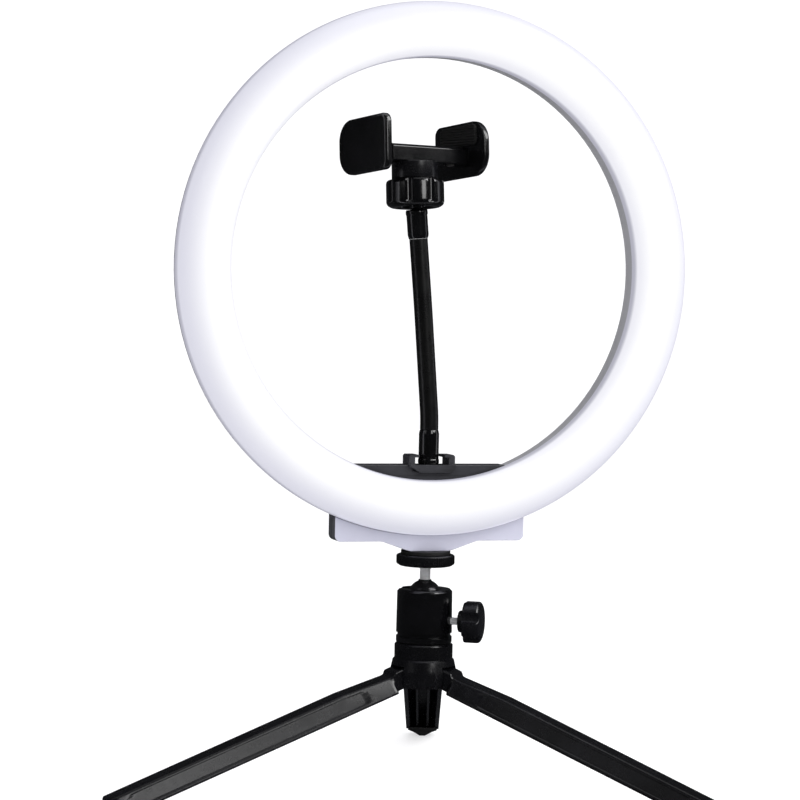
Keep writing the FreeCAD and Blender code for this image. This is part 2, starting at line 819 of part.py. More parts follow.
# The shoe plate closes the bottom of the hole. A T slot runs through it from front to back.
ARM_AT = -0.2
SLOT_HALF, SLOT_NECK, SLOT_FLOOR, SLOT_ROOF = 9.3, 6.3, -3.1, -1.0
shoe_place = ring_frame.multiply(
    Placement(Vector(0, value("arm_back"), -value("plate_drop")), Rotation())
)
segment = common(
    "shoe_segment",
    box("plate_box", (-60, 0.4, -110), (60, "shell_depth - 0.6", "-plate_drop")),
    cylinder("plate_disc", "hole_radius + 0.05", 40, (0, -20, 0), Y_AXIS),
)
slot = padded(
    "shoe_slot",
    "XZ_Plane",
    [
        (-SLOT_HALF, SLOT_FLOOR),
        (SLOT_HALF, SLOT_FLOOR),
        (SLOT_HALF, SLOT_ROOF),
        (SLOT_NECK, SLOT_ROOF),
        (SLOT_NECK, 1),
        (-SLOT_NECK, 1),
        (-SLOT_NECK, SLOT_ROOF),
        (-SLOT_HALF, SLOT_ROOF),
    ],
    40,
)
slot.Placement = Placement(Vector(ARM_AT, value("arm_back"), -value("plate_drop")), Rotation())
node("shoe_plate", cut("shoe_plate", segment, [slot]), ring_frame)

# The shoe's two posts stand either side of the slot; their lips reach in above the foot.
SHOE_HALF, POST_INNER, LIP_INNER, LIP_LOW, SHOE_TOP = 11.8, 8.7, 6.6, 3.7, 5.0
posts = []
for hand in (-1, 1):
    corners = [
        (hand * POST_INNER, 0),
        (hand * SHOE_HALF, 0),
        (hand * SHOE_HALF, SHOE_TOP - 0.8),
        (hand * (SHOE_HALF - 0.8), SHOE_TOP),
        (hand * LIP_INNER, SHOE_TOP),
        (hand * LIP_INNER, LIP_LOW),
        (hand * POST_INNER, LIP_LOW),
    ]
    posts.append(padded(f"shoe_post_{'left' if hand < 0 else 'right'}", "XZ_Plane", corners, 10.8))
apron = padded(
    "shoe_apron",
    "XZ_Plane",
    [(-11.8, 0.1), (-11.8, -0.6), (-6, -3.8), (10, -3.8), (11.8, -2), (11.8, 0.1)],
    2,
)
apron.Placement = Placement(Vector(0, -5.7, 0), Rotation())
node("shoe_bracket", fuse("shoe_bracket", posts + [apron]), shoe_place)

# ------------------------------------------------------------------ phone arm
# Foot, ferrules and three links that meet in ball and socket knees inside one sleeve.
KNEES = [(ARM_AT, -72.0), (-4.5, -20.0)]
NUT_FOOT = (-9.1, 29.0)
SWIVEL_RISE = 10.6


def lean(low, high):
    """Placement at the low point whose Z axis points at the high one, in the ring frame."""
    way = Vector(high[0] - low[0], 0, high[1] - low[1])
    return ring_frame.multiply(
        Placement(Vector(low[0], value("arm_back"), low[1]), Rotation(Z_AXIS, way))
    )


arm_base = ring_frame.multiply(
    Placement(Vector(KNEES[0][0], value("arm_back"), -value("plate_drop")), Rotation())
)
middle_frame = lean(KNEES[0], KNEES[1])
upper_frame = lean(KNEES[1], NUT_FOOT)
upper_length = math.hypot(NUT_FOOT[0] - KNEES[1][0], NUT_FOOT[1] - KNEES[1][1])
middle_length = math.hypot(KNEES[1][0] - KNEES[0][0], KNEES[1][1] - KNEES[0][1])
lower_length = KNEES[0][1] + value("plate_drop")

foot_flange = box(
    "arm_foot_flange", (-SLOT_HALF + 0.2, -4.4, SLOT_FLOOR + 0.15), (SLOT_HALF - 0.2, 5, SLOT_ROOF - 0.15)
)
foot_neck = box("arm_foot_neck", (-SLOT_NECK + 0.2, -4.4, SLOT_FLOOR + 0.5), (SLOT_NECK - 0.2, 5, 0.1))
foot_post = cylinder("arm_foot_post", 3.4, 13, (0, 0, -0.5))
node("arm_foot", fuse("arm_foot", [foot_flange, foot_neck, foot_post]), arm_base)
node(
    "lower_ferrule",
    turned(
        "lower_ferrule",
        [
            (3.45, 0.15),
            (5.2, 0.15),
            (5.2, 15.9),
            ("neck_radius + 0.1", 17.1),
            (3.45, 17.1),
        ],
    ),
    arm_base,
)


def link(label, low, high, starts_in_socket, ends_in_ball):
    """One link along +Z: a sleeve-sized bar, with a socket at its foot or a ball at its head."""
    bar = cylinder(label + "_bar", "neck_radius", f"{high - low}", (0, 0, low))
    shape = bar
    if ends_in_ball:
        shape = fuse(label + "_balled", [bar, sphere(label + "_ball", "neck_radius", (0, 0, high))])
    if starts_in_socket:
        hollow = sphere(label + "_hollow", "neck_radius + knee_gap", (0, 0, 0))
        shape = cut(label + "_socketed", shape, [hollow])
    return shape


node("gooseneck_lower", link("gooseneck_lower", 17.2, lower_length, False, True), arm_base)
node("gooseneck_middle", link("gooseneck_middle", 0, middle_length, True, True), middle_frame)
ferrule_foot = upper_length - 14.2
node("gooseneck_upper", link("gooseneck_upper", 0, ferrule_foot, True, False), upper_frame)
node(
    "upper_ferrule",
    turned(
        "upper_ferrule",
        [
            (0, ferrule_foot + 0.05),
            ("neck_radius + 0.1", ferrule_foot + 0.05),
            (5.4, ferrule_foot + 2),
            (5.4, upper_length - 2.4),
            (4.2, upper_length),
            (2.1, upper_length),
            (2.1, upper_length - 8),
            (0, upper_length - 8),
        ],
    ),
    upper_frame,
)
swivel_at = upper_length + SWIVEL_RISE
swivel_neck = cylinder("swivel_neck", 2.05, SWIVEL_RISE + 5, (0, 0, upper_length - 7.9))
swivel_shank = cylinder("swivel_shank", 3.3, SWIVEL_RISE - 0.1, (0, 0, upper_length + 0.05))
swivel_head = sphere("swivel_head", "knob_ball", (0, 0, swivel_at))
node("swivel_ball", fuse("swivel_ball", [swivel_neck, swivel_shank, swivel_head]), upper_frame)

# ------------------------------------------------------------------ phone clip
# Clip frame: origin in the swivel ball's centre, +X along the beam towards the fixed jaw.
CLIP_YAW, CLIP_PITCH = 17, -4
clip_turn = Rotation(Z_AXIS, CLIP_YAW).multiply(Rotation(X_AXIS, CLIP_PITCH))
clip_frame = Placement(upper_frame.multVec(Vector(0, 0, swivel_at)), clip_turn)

SEAT_INSIDE, SEAT_OUTSIDE, SOCKET_INSIDE = 7.95, 9.0, 9.45


def around_ball(radius, degrees):
    """Outline points at one distance from the ball's centre, by angle above its equator."""
    turns = [math.radians(angle) for angle in degrees]
    return [(radius * math.cos(turn), radius * math.sin(turn)) for turn in turns]


# The seat and the socket meet on a sphere about the ball's centre, so the clip can tilt.
node(
    "swivel_seat",
    turned(
        "swivel_seat",
        around_ball(SEAT_OUTSIDE, (57, 46, 32, 18, 4)) + around_ball(SEAT_INSIDE, (4, 21, 38, 54)),
    ),
    clip_frame,
)


def clip_socket():
    return turned(
        "clip_socket",
        [
            (6.6, -4.4),
            (7.4, -6.6),
            (10.6, -6.6),
            (10.6, 4),
            ("socket_radius", 4.3),
            ("socket_radius", "beam_low - 0.05"),
            (0, "beam_low - 0.05"),
            *around_ball(SOCKET_INSIDE, (90, 70, 50, 30, 10, -6, -14)),
            (7.65, -2.45),
        ],
    )


def swivel_nut():
    """Lobed nut on the socket; its lower lip closes under the ball."""
    body = turned(
        "swivel_nut",
        [
            (8.9, -9.6),
            (11.6, -9.6),
            ("nut_radius - 0.6", -8.2),
            ("nut_radius", 2.6),
            ("nut_radius - 0.9", 3.8),
            (10.95, 3.8),
            (10.95, -7.2),
            (8.4, -7.2),
        ],
    )
    groove = circle_sketch(body, "XY_Plane", "nut_radius + 0.7", 0, 1.9)
    groove.AttachmentOffset = Placement(Vector(0, 0, -7.6), Rotation())
    around(body, [pocket(body, groove, 14, midplane=False, flip=True)], "Z_Axis", 8)
    return body


node("clip_socket", clip_socket(), clip_frame)
node("swivel_nut", swivel_nut(), clip_frame)

BEAM_LEFT, BEAM_RIGHT = -17.0, 26.9
CAVITY_HALF, CAVITY_LOW, CAVITY_HIGH = 5.2, 14.6, 19.3
SLIDE_OUT = -27.1


def clip_body():
    """Hollow beam, open at its left end for the slider and closed below by its cover."""
    body = padded(
        "clip_beam",
        "YZ_Plane",
        [
            ("-beam_half", "beam_low"),
            ("beam_half", "beam_low"),
            ("beam_half", "beam_high - 1.2"),
            ("beam_half - 1.2", "beam_high"),
            ("1.2 - beam_half", "beam_high"),
            ("-beam_half", "beam_high - 1.2"),
        ],
        BEAM_RIGHT - BEAM_LEFT,
        midplane=False,
        lift=BEAM_LEFT,
    )
    tunnel = box("clip_tunnel", (-30, -CAVITY_HALF, CAVITY_LOW), (24, CAVITY_HALF, CAVITY_HIGH))
    hatch = box("clip_hatch", (12, -4.6, "beam_low - 1"), (24, 4.6, CAVITY_LOW + 1))
    return cut("clip_body", body, [tunnel, hatch])


def jaw(label, near, far, big_end):
    """Paddle between two planes across the beam, its outline a rectangle with round corners.
    The corners are bigger at the end that big_end, 1 or -1, gives along Y."""
    foot_z = value("beam_low") - 6.5
    body = padded(
        label,
        "YZ_Plane",
        [
            ("-jaw_depth / 2", foot_z),
            ("jaw_depth / 2", foot_z),
            ("jaw_depth / 2", f"{foot_z} + jaw_height"),
            ("-jaw_depth / 2", f"{foot_z} + jaw_height"),
        ],
        far - near,
        midplane=False,
        lift=near,
    )
    end = value("jaw_depth") / 2 - 0.1
    rounded(body, 10.5, lambda e: runs_along(e, X_AXIS) and e.CenterOfMass.y * big_end > end)
    rounded(body, 4.5, lambda e: runs_along(e, X_AXIS) and e.CenterOfMass.y * big_end < -end)
    return body


grip, thick = value("grip_half"), value("jaw_thick")
fixed_jaw = jaw("fixed_jaw", grip + 0.05, grip + thick, -1)
rounded(fixed_jaw, 1.1, lambda e: abs(e.CenterOfMass.x - grip - thick) < 1e-4)
moving_jaw = jaw("moving_jaw", -grip - thick, -grip - 0.05, 1)
rounded(moving_jaw, 1.1, lambda e: abs(e.CenterOfMass.x + grip + thick) < 1e-4)
node("clip_body", clip_body(), clip_frame)
node("fixed_jaw", fixed_jaw, clip_frame)
node("moving_jaw", moving_jaw, clip_frame)
PAD_THICK = 1.4


def jaw_pad(label, near):
    """Rubber pad on a jaw's inner face above the beam."""
    body = padded(
        label,
        "YZ_Plane",
        [(-15, "beam_high + 0.6"), (15, "beam_high + 0.6"), (15, 31.6), (-15, 31.6)],
        PAD_THICK,
        midplane=False,
        lift=near,
    )
    rounded(body, 4, lambda e: runs_along(e, X_AXIS) and e.CenterOfMass.z > 30)
    return body


node("fixed_jaw_pad", jaw_pad("fixed_jaw_pad", grip - PAD_THICK), clip_frame)
node("moving_jaw_pad", jaw_pad("moving_jaw_pad", -grip), clip_frame)
SLIDER_END = 17.5
slider = cut(
    "clip_slider",
    box("slider_bar", (SLIDE_OUT + 0.15, -4.9, CAVITY_LOW + 0.3), (SLIDER_END, 4.9, CAVITY_HIGH - 0.3)),
    [box("slider_slot", (-8, -1.4, CAVITY_LOW - 1), (SLIDER_END - 3, 1.4, CAVITY_HIGH + 1))],
)
node("clip_slider", slider, clip_frame)
spring_way = (SLIDER_END + 0.1, 0, (CAVITY_LOW + CAVITY_HIGH) / 2)
spring_core = cylinder("spring_core", 1.3, 10, spring_way, X_AXIS)
spring_coil = cylinder("spring_coil", 1.9, 6.3, spring_way, X_AXIS)
node("clip_spring", cut("clip_spring", spring_coil, [spring_core]), clip_frame)
hatch_cover = cut(
    "clip_cover",
    box("cover_plate", (12.1, -4.5, "beam_low + 0.1"), (23.9, 4.5, CAVITY_LOW - 0.1)),
    [cylinder("cover_hole", 1.1, 10, (21.5, 0, "beam_low - 2"))],
)
node("clip_cover", hatch_cover, clip_frame)
cover_screw = fuse(
    "cover_screw",
    [
        cylinder("cover_screw_head", 1.9, 0.8, (21.5, 0, "beam_low - 0.72")),
        cylinder("cover_screw_shank", 1.05, 1.9, (21.5, 0, "beam_low")),
    ],
)
node("cover_screw", cover_screw, clip_frame)

# ------------------------------------------------------------------ checks and files
doc.recompute()
for obj in doc.Objects:
    assert not {"Invalid", "Error"} & set(obj.State), f"{obj.Name} failed: {obj.State}"
names = [obj.Label for obj in NODES]
assert len(set(names)) == len(names), "two sub-parts share a label"
for obj in NODES:
    shape = obj.Shape
    assert not shape.isNull() and shape.isValid(), f"{obj.Label} has a bad shape"
    assert shape.Solids, f"{obj.Label} has no solid"

os.makedirs("parts", exist_ok=True)
for obj in NODES:
    obj.Shape.exportStep(f"parts/{obj.Label}.step")
    size = obj.Shape.BoundBox
    print(f"{obj.Label:18s} {len(obj.Shape.Solids):3d} {obj.Shape.Volume / 1000:8.2f} cm3  "
          f"x {size.XMin:7.1f} {size.XMax:7.1f}  y {size.YMin:7.1f} {size.YMax:7.1f}  "
          f"z {size.ZMin:7.1f} {size.ZMax:7.1f}")
print(len(NODES), "sub-parts, leg hinge", round(pivot_height, 3),
      "clip ball", [round(v, 3) for v in clip_frame.Base])
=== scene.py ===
import json
import math

import bmesh
import bpy
import numpy as np
from mathutils import Matrix, Vector


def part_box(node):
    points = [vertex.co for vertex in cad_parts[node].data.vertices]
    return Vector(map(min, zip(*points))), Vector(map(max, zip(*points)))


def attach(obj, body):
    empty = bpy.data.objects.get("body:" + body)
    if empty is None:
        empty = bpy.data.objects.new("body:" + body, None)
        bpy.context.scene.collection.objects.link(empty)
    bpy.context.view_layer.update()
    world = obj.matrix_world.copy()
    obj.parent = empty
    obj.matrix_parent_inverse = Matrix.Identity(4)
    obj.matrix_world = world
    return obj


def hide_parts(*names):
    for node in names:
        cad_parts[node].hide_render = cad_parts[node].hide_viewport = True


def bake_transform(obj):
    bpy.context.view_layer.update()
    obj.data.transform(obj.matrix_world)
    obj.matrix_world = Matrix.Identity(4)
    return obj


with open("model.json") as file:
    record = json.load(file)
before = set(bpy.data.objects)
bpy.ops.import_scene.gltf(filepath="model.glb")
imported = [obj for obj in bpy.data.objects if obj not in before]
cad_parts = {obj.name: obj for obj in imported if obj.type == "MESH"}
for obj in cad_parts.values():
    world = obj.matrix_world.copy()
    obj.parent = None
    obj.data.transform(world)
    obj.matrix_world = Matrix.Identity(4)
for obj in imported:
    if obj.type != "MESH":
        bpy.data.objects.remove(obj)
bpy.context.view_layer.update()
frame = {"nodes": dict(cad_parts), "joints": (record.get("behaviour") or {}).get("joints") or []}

MM = 0.001
joints = {j["name"]: j for j in frame["joints"]}


# ---------------------------------------------------------------- hub
# The hub is one moulding of black nylon with three slots for the legs. A steel screw holds it
# to the ball housing from below, and three steel pins carry the legs.
def skin(name, points, faces, crease=38):
    """Mesh object from an array of points and a list of faces: doubles merged, faces outward,
    smooth except along edges sharper than the crease angle."""
    mesh = bpy.data.meshes.new(name)
    mesh.from_pydata(points.reshape(-1, 3).tolist(), [], faces)
    work = bmesh.new()
    work.from_mesh(mesh)
    bmesh.ops.remove_doubles(work, verts=work.verts, dist=2e-6)
    bmesh.ops.recalc_face_normals(work, faces=work.faces)
    work.to_mesh(mesh)
    work.free()
    mesh.shade_smooth()
    mesh.set_sharp_from_angle(angle=math.radians(crease))
    piece = bpy.data.objects.new(name, mesh)
    bpy.context.scene.collection.objects.link(piece)
    return piece


def eased(name, node, width, limit=30):
    """Copy of a CAD node with its doubles merged and flat facets joined, its corners then
    rounded to the given width."""
    mesh = frame["nodes"][node].data.copy()
    if "custom_normal" in mesh.attributes:
        mesh.attributes.remove(mesh.attributes["custom_normal"])
    work = bmesh.new()
    work.from_mesh(mesh)
    bmesh.ops.remove_doubles(work, verts=work.verts, dist=2e-6)
    bmesh.ops.dissolve_limit(work, angle_limit=math.radians(0.5), verts=work.verts, edges=work.edges)
    work.to_mesh(mesh)
    work.free()
    mesh.shade_smooth()
    piece = bpy.data.objects.new(name, mesh)
    bpy.context.scene.collection.objects.link(piece)
    bevel = piece.modifiers.new("corners", "BEVEL")
    bevel.width, bevel.segments = width, 3
    bevel.limit_method, bevel.angle_limit = "ANGLE", math.radians(limit)
    piece.modifiers.new("shading", "WEIGHTED_NORMAL")
    return piece


class Ink:
    """A socket of a material's node tree. Sums, products and powers of Inks and numbers write
    Math nodes; node() makes any other node from its type, settings and socket values."""

    def __init__(self, tree, socket=None):
        self.tree, self.socket = tree, socket

    def node(self, kind, settings=None, **sockets):
        made = self.tree.nodes.new("ShaderNode" + kind)
        for name, setting in (settings or {}).items():
            setattr(made, name, setting)
        for name, given in sockets.items():
            key = int(name[1:]) if name[1:].isdigit() else name.replace("_", " ")
            if isinstance(given, Ink):
                self.tree.links.new(given.socket, made.inputs[key])
            else:
                made.inputs[key].default_value = given
        return made

    def math(self, operation, *terms):
        sockets = {f"_{k}": term for k, term in enumerate(terms)}
        return Ink(self.tree, self.node("Math", {"operation": operation}, **sockets).outputs[0])

    def __add__(self, other):
        return self.math("ADD", self, other)

    def __sub__(self, other):
        return self.math("SUBTRACT", self, other)

    def __rsub__(self, other):
        return self.math("SUBTRACT", other, self)

    def __mul__(self, other):
        return self.math("MULTIPLY", self, other)

    def __pow__(self, other):
        return self.math("POWER", self, other)

    __radd__, __rmul__ = __add__, __mul__

    def between(self, low, high):
        """0 below low, 1 above high, smooth between."""
        made = self.node("MapRange", {"interpolation_type": "SMOOTHSTEP"}, Value=self,
                         From_Min=low, From_Max=high)
        return Ink(self.tree, made.outputs[0])

    def blend(self, first, second):
        """Colour between two colours by this socket's value."""
        made = self.node("Mix", {"data_type": "RGBA"}, _0=self, _6=first, _7=second)
        return Ink(self.tree, made.outputs[2])


class Finish:
    """One material: its tree, the piece's own coordinates and its Principled shader."""

    def __init__(self, name, **constants):
        self.material = bpy.data.materials.new(name)
        self.material.use_nodes = True
        self.tree = self.material.node_tree
        self.shader = self.tree.nodes["Principled BSDF"]
        for key, setting in constants.items():
            self.shader.inputs[key.replace("_", " ")].default_value = setting
        self.pen = Ink(self.tree)
        self.place = Ink(self.tree, self.pen.node("TexCoord").outputs["Object"])

    def noise(self, grain, detail=4.0, roughness=0.55, stretch=(1, 1, 1)):
        """Noise whose grain is that many metres across, centred on 0.5."""
        scale = tuple(k / grain for k in stretch)
        scaled = Ink(self.tree, self.pen.node("Mapping", Vector=self.place, Scale=scale).outputs[0])
        made = self.pen.node("TexNoise", Vector=scaled, Scale=1.0, Detail=detail, Roughness=roughness)
        return Ink(self.tree, made.outputs[0])

    def axes(self):
        """The piece's x, y and z in metres."""
        return [Ink(self.tree, out) for out in self.pen.node("SeparateXYZ", Vector=self.place).outputs]

    def edges(self, low=0.52, high=0.6):
        """1 on convex edges, from the mesh's pointiness."""
        return Ink(self.tree, self.pen.node("NewGeometry").outputs["Pointiness"]).between(low, high)

    def feed(self, **inks):
        for key, ink in inks.items():
            self.tree.links.new(ink.socket, self.shader.inputs[key.replace("_", " ")])

    def bump(self, height, distance):
        made = self.pen.node("Bump", Height=height, Distance=distance, Strength=1.0)
        self.tree.links.new(made.outputs["Normal"], self.shader.inputs["Normal"])


def moulded(name, dark, light, gloss, grain=0.4 * MM, depth=0.012 * MM, **constants):
    """Injection-moulded plastic: spark-eroded grain, faint flow streaks in the colour, finger
    smears in the gloss, and corners rubbed a little lighter."""
    finish = Finish(name, IOR=1.5, **constants)
    cloud, smear = finish.noise(26 * MM, 3), finish.noise(8 * MM, 5, 0.65)
    fine, worn = finish.noise(grain, 2), finish.edges()
    body = cloud.between(0.35, 0.7).blend((*dark, 1), (*light, 1))
    rubbed = (*[min(1.0, k * 1.7 + 0.004) for k in light], 1)
    finish.feed(Base_Color=(worn * (0.25 + smear * 0.4)).blend(body, rubbed),
                Roughness=gloss + (smear - 0.5) * 0.2 + (fine - 0.5) * 0.08 - worn * 0.04)
    finish.bump(fine + cloud * 0.4, depth)
    return finish.material


def steel_like(name, dark, light, gloss, grain=(1, 1, 12)):
    """Turned metal: fine tool lines along the grain's short way, tarnish in the colour and dull
    patches in the gloss."""
    finish = Finish(name, Metallic=0.55)
    lines, tarnish = finish.noise(1.2 * MM, 3, 0.6, grain), finish.noise(5 * MM, 4, 0.6)
    finish.feed(Base_Color=tarnish.between(0.3, 0.75).blend((*dark, 1), (*light, 1)),
                Roughness=gloss + (lines - 0.5) * 0.25 + (tarnish - 0.5) * 0.15)
    finish.bump(lines, 0.006 * MM)
    return finish.material


def dress(piece, material, body=None, nodes=()):
    """Give a piece its material in its one slot, hide the CAD nodes that it stands for, and attach it
    to its body."""
    piece.data.materials.clear()
    piece.data.materials.append(material)
    if nodes:
        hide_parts(*nodes)
    if body:
        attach(piece, body)
    return piece


def carried(node, material):
    """A CAD node that is shown as it is, with its finish."""
    return dress(frame["nodes"][node], material)


nylon_black = moulded("leg_nylon", (0.0015, 0.0015, 0.002), (0.0035, 0.0035, 0.0045), 0.26)
steel = steel_like("turned_steel", (0.55, 0.55, 0.56), (0.82, 0.82, 0.84), 0.34)

blued = steel_like("pin_blued", (0.006, 0.006, 0.007), (0.012, 0.012, 0.014), 0.35)

dress(eased("hub_moulding", "hub", 0.45 * MM), nylon_black, "stand", ["hub"])
carried("hub_screw", steel)
for side in ("rear", "left", "right"):
    carried(f"leg_pin_{side}", blued)


# ---------------------------------------------------------------- legs
# Three channel legs of black nylon. Each is one moulding: a hinge tongue, a trapezoid channel
# open below with two ribs along it, and a long shallow panel sunk in both sloping sides.
def piled(name, loops, ring=False, crease=38):
    """Skin over a pile of closed loops, loops[i, j] being point j of loop i. A pile is closed by
    a flat face at each end, or with ring=True by joining its last loop to its first."""
    rows, cols = loops.shape[:2]
    i = np.arange(rows if ring else rows - 1)[:, None]
    j = np.arange(cols)[None, :]
    up, side = (i + 1) % rows, (j + 1) % cols
    corners = [i * cols + j, i * cols + side, up * cols + side, up * cols + j]
    faces = np.stack(np.broadcast_arrays(*corners), -1).reshape(-1, 4).tolist()
    if not ring:
        faces.append(list(range(cols))[::-1])
        faces.append(list(range((rows - 1) * cols, rows * cols)))
    return skin(name, loops, faces, crease)


def unit(v):
    return np.asarray(v, float) / np.linalg.norm(v)


def smooth(x, low, high):
    """Smoothstep: 3 t^2 - 2 t^3 with t = (x - low) / (high - low) held between 0 and 1."""
    t = np.clip((np.asarray(x, float) - low) / (high - low), 0, 1)
    return t * t * (3 - 2 * t)


LEG_SLOPE = math.radians(18.9)
LEG_REACH, LEG_HINGE = 170 * MM, 12 * MM
LEG_LENGTH = (LEG_REACH - LEG_HINGE) / math.cos(LEG_SLOPE) - 1.0 * MM
HALF_DEPTH, LEG_HALF, CREST_HALF, TONGUE_HALF = 4.65 * MM, 10 * MM, 4.8 * MM, 6 * MM
LEG_LEAN, RIB, RIB_GAP = 2.12 * MM, 1.2 * MM, 4.667 * MM
CHANNEL_START, CHANNEL_END, TOE_RAMP, TOE_BACK = 10.6 * MM, 7 * MM, 0.35, 10 * MM


def leg_way(side):
    """Hinge point and the leg's along, across and upward directions."""
    hinge = joints[f"leg_{side}_fold"]
    across = unit(hinge["axis"])
    out = np.cross(across, [0, 0, 1.0])
    along = out * math.cos(LEG_SLOPE) - np.array([0, 0, math.sin(LEG_SLOPE)])
    return np.array(hinge["pos_m"]), along, across, np.cross(along, across)


def leg_loops():
    """Cross-sections of the leg as arrays (along, across, up), one row for each station. The
    outside is a trapezoid on short upright lips, its sizes being functions of the station; a
    row runs up one wall, over the top, down the other wall and back inside, round two ribs."""
    root = HALF_DEPTH * np.sin(np.linspace(-math.pi / 2 + 0.06, 0, 9))
    neck = np.array([3, 5.4, 5.9, 6.4, 6.9, 7.4, 7.8, 8.3, 8.8, 9.3, 10.4]) * MM
    trunk = np.linspace(CHANNEL_START, LEG_LENGTH - CHANNEL_END, 100)
    toe = LEG_LENGTH - np.linspace(6.9, 0.08, 18) * MM
    s = np.concatenate([root, neck, trunk, toe])[:, None]
    tail = LEG_LENGTH - s
    grown, arrow = smooth(s, 6.4 * MM, 9.3 * MM), 1.25 * MM + 1.1 * tail
    half = np.minimum(TONGUE_HALF + (LEG_HALF - TONGUE_HALF) * grown - 1 * MM * s / LEG_LENGTH, arrow)
    crest = np.minimum(TONGUE_HALF + (CREST_HALF - TONGUE_HALF) * grown, 0.9 * arrow)
    rounding = np.sqrt(np.clip(HALF_DEPTH ** 2 - np.minimum(s, 0) ** 2, 0, None))
    dip = 1.65 * MM * smooth(s, 5.4 * MM, 7.4 * MM) * np.clip((36 * MM - s) / (28.6 * MM), 0, 1)
    top = rounding - dip - 0.93 * np.clip(4 * MM - tail, 0, None)
    low = -rounding + TOE_RAMP * np.clip(TOE_BACK - tail, 0, None)
    lip = low + np.minimum(1 * MM, 0.2 * (top - low))
    slant = np.hypot(half - crest, top - lip)
    ease = np.minimum(1.1 * MM, np.minimum(0.3 * (top - low), 0.6 * crest))
    start_n, start_w = top - ease * (top - lip) / slant, crest + ease * (half - crest) / slant
    wall = low + (start_n - low) * np.linspace(0, 1, 34)[None, :]
    lean = np.clip((wall - lip) / (top - lip), 0, 1)
    panel = (top - lip) * 0.5 - 0.95 * MM
    beyond = np.minimum(s - 24 * MM - panel, 0) + np.minimum(tail - 12 * MM - panel, 0)
    from_line = np.hypot(beyond, wall - (lip + top) / 2 + 0.45 * MM)
    sunk = 0.5 * MM * (1 - smooth(from_line, panel - 0.5 * MM, panel + 0.1 * MM)) * (panel > 1 * MM)
    t = np.linspace(0, 1, 7)[None, 1:]
    side_w = np.concatenate([half - (half - crest) * lean - sunk,
                             (1 - t) ** 2 * start_w + 2 * t * (1 - t) * crest + t ** 2 * (crest - ease)], 1)
    side_n = np.concatenate([wall, (1 - t) ** 2 * start_n + (1 - (1 - t) ** 2) * top], 1)
    hollow = (s >= CHANNEL_START) & (tail >= CHANNEL_END - 0.01 * MM)
    roof = np.minimum((1.25 + 1.4 * smooth(s, 28 * MM, 31 * MM)) * MM, top - 1.2 * MM)
    inner = np.maximum(half - LEG_LEAN, 0.3 * half)
    inner_roof = np.maximum(inner - (half - crest) * (roof - lip) / (top - lip), 0.2 * half)
    rib_far = np.minimum(RIB_GAP / 2 + RIB, inner_roof * 0.9)
    rib_near = np.minimum(RIB_GAP / 2, inner_roof * 0.6)
    in_w = np.concatenate([inner, inner, inner_roof, rib_far * 1.02, rib_far, rib_near,
                           rib_near * 0.97], 1)
    ridge = low + 0.5 * MM
    in_n = np.where(hollow, np.concatenate([low, lip, roof, roof, ridge, ridge, roof], 1),
                    low + 0.02 * MM)
    w = np.concatenate([side_w, -side_w[:, ::-1], -in_w, in_w[:, ::-1]], 1)
    n = np.concatenate([side_n, side_n[:, ::-1], in_n, in_n[:, ::-1]], 1)
    return np.broadcast_to(s, w.shape), w, n


grip_rubber = moulded("foot_rubber", (0.003, 0.003, 0.003), (0.007, 0.007, 0.007), 0.6, 0.7 * MM, 0.05 * MM)

FOOT_LENGTH, TOE_LIFT, KEEL_HALF = 16.9 * MM, 1.08 * MM, 1.5 * MM


def foot_loops():
    """Cross-sections of a foot as arrays (outward, across, up). The top lies along the leg's
    underside; the sole is a V that rises from a narrow keel on the floor to both sides."""
    back = np.concatenate([np.linspace(FOOT_LENGTH, 5 * MM, 24), np.linspace(4.9, 0.08, 20) * MM])[:, None]
    top = TOE_LIFT + np.clip(back - 5 * MM, 0, None) * math.tan(LEG_SLOPE) \
        + TOE_RAMP * np.clip(TOE_BACK - back, 0, None)
    half = np.minimum(8.1 * MM, 0.9 * MM + 1.1 * back)
    keel = np.minimum(KEEL_HALF, 0.8 * half)
    rest = 0.8 * MM * (1 - smooth(back, 0, 1.4 * MM)) + 1.6 * MM * smooth(back, 13.5 * MM, FOOT_LENGTH)
    side = np.maximum(top - 0.3 * MM, rest + 0.02 * MM)
    share = np.linspace(0, 1, 7)[None, :]
    w = np.concatenate([half - 0.3 * MM * (half > 1 * MM), half + 0 * share[:, :1],
                        half + (keel - half) * share], 1)
    n = np.concatenate([top, top - 0.2 * MM, side + (rest - side) * share], 1)
    w, n = np.concatenate([w, -w[:, ::-1]], 1), np.concatenate([n, n[:, ::-1]], 1)
    return LEG_REACH - np.broadcast_to(back, w.shape), w, n


for side in ("rear", "left", "right"):
    pivot, along, across, up = leg_way(side)
    s, w, n = leg_loops()
    shape = pivot + s[..., None] * along + w[..., None] * across + n[..., None] * up
    dress(piled(f"leg_moulding_{side}", shape), nylon_black, f"leg_{side}",
          [f"leg_{side}"])
    r, w, n = foot_loops()
    outward = np.cross(across, [0, 0, 1.0])
    shape = r[..., None] * outward + w[..., None] * across + n[..., None] * np.array([0, 0, 1.0])
    dress(piled(f"foot_pad_{side}", shape), grip_rubber, f"leg_{side}", [f"foot_{side}"])


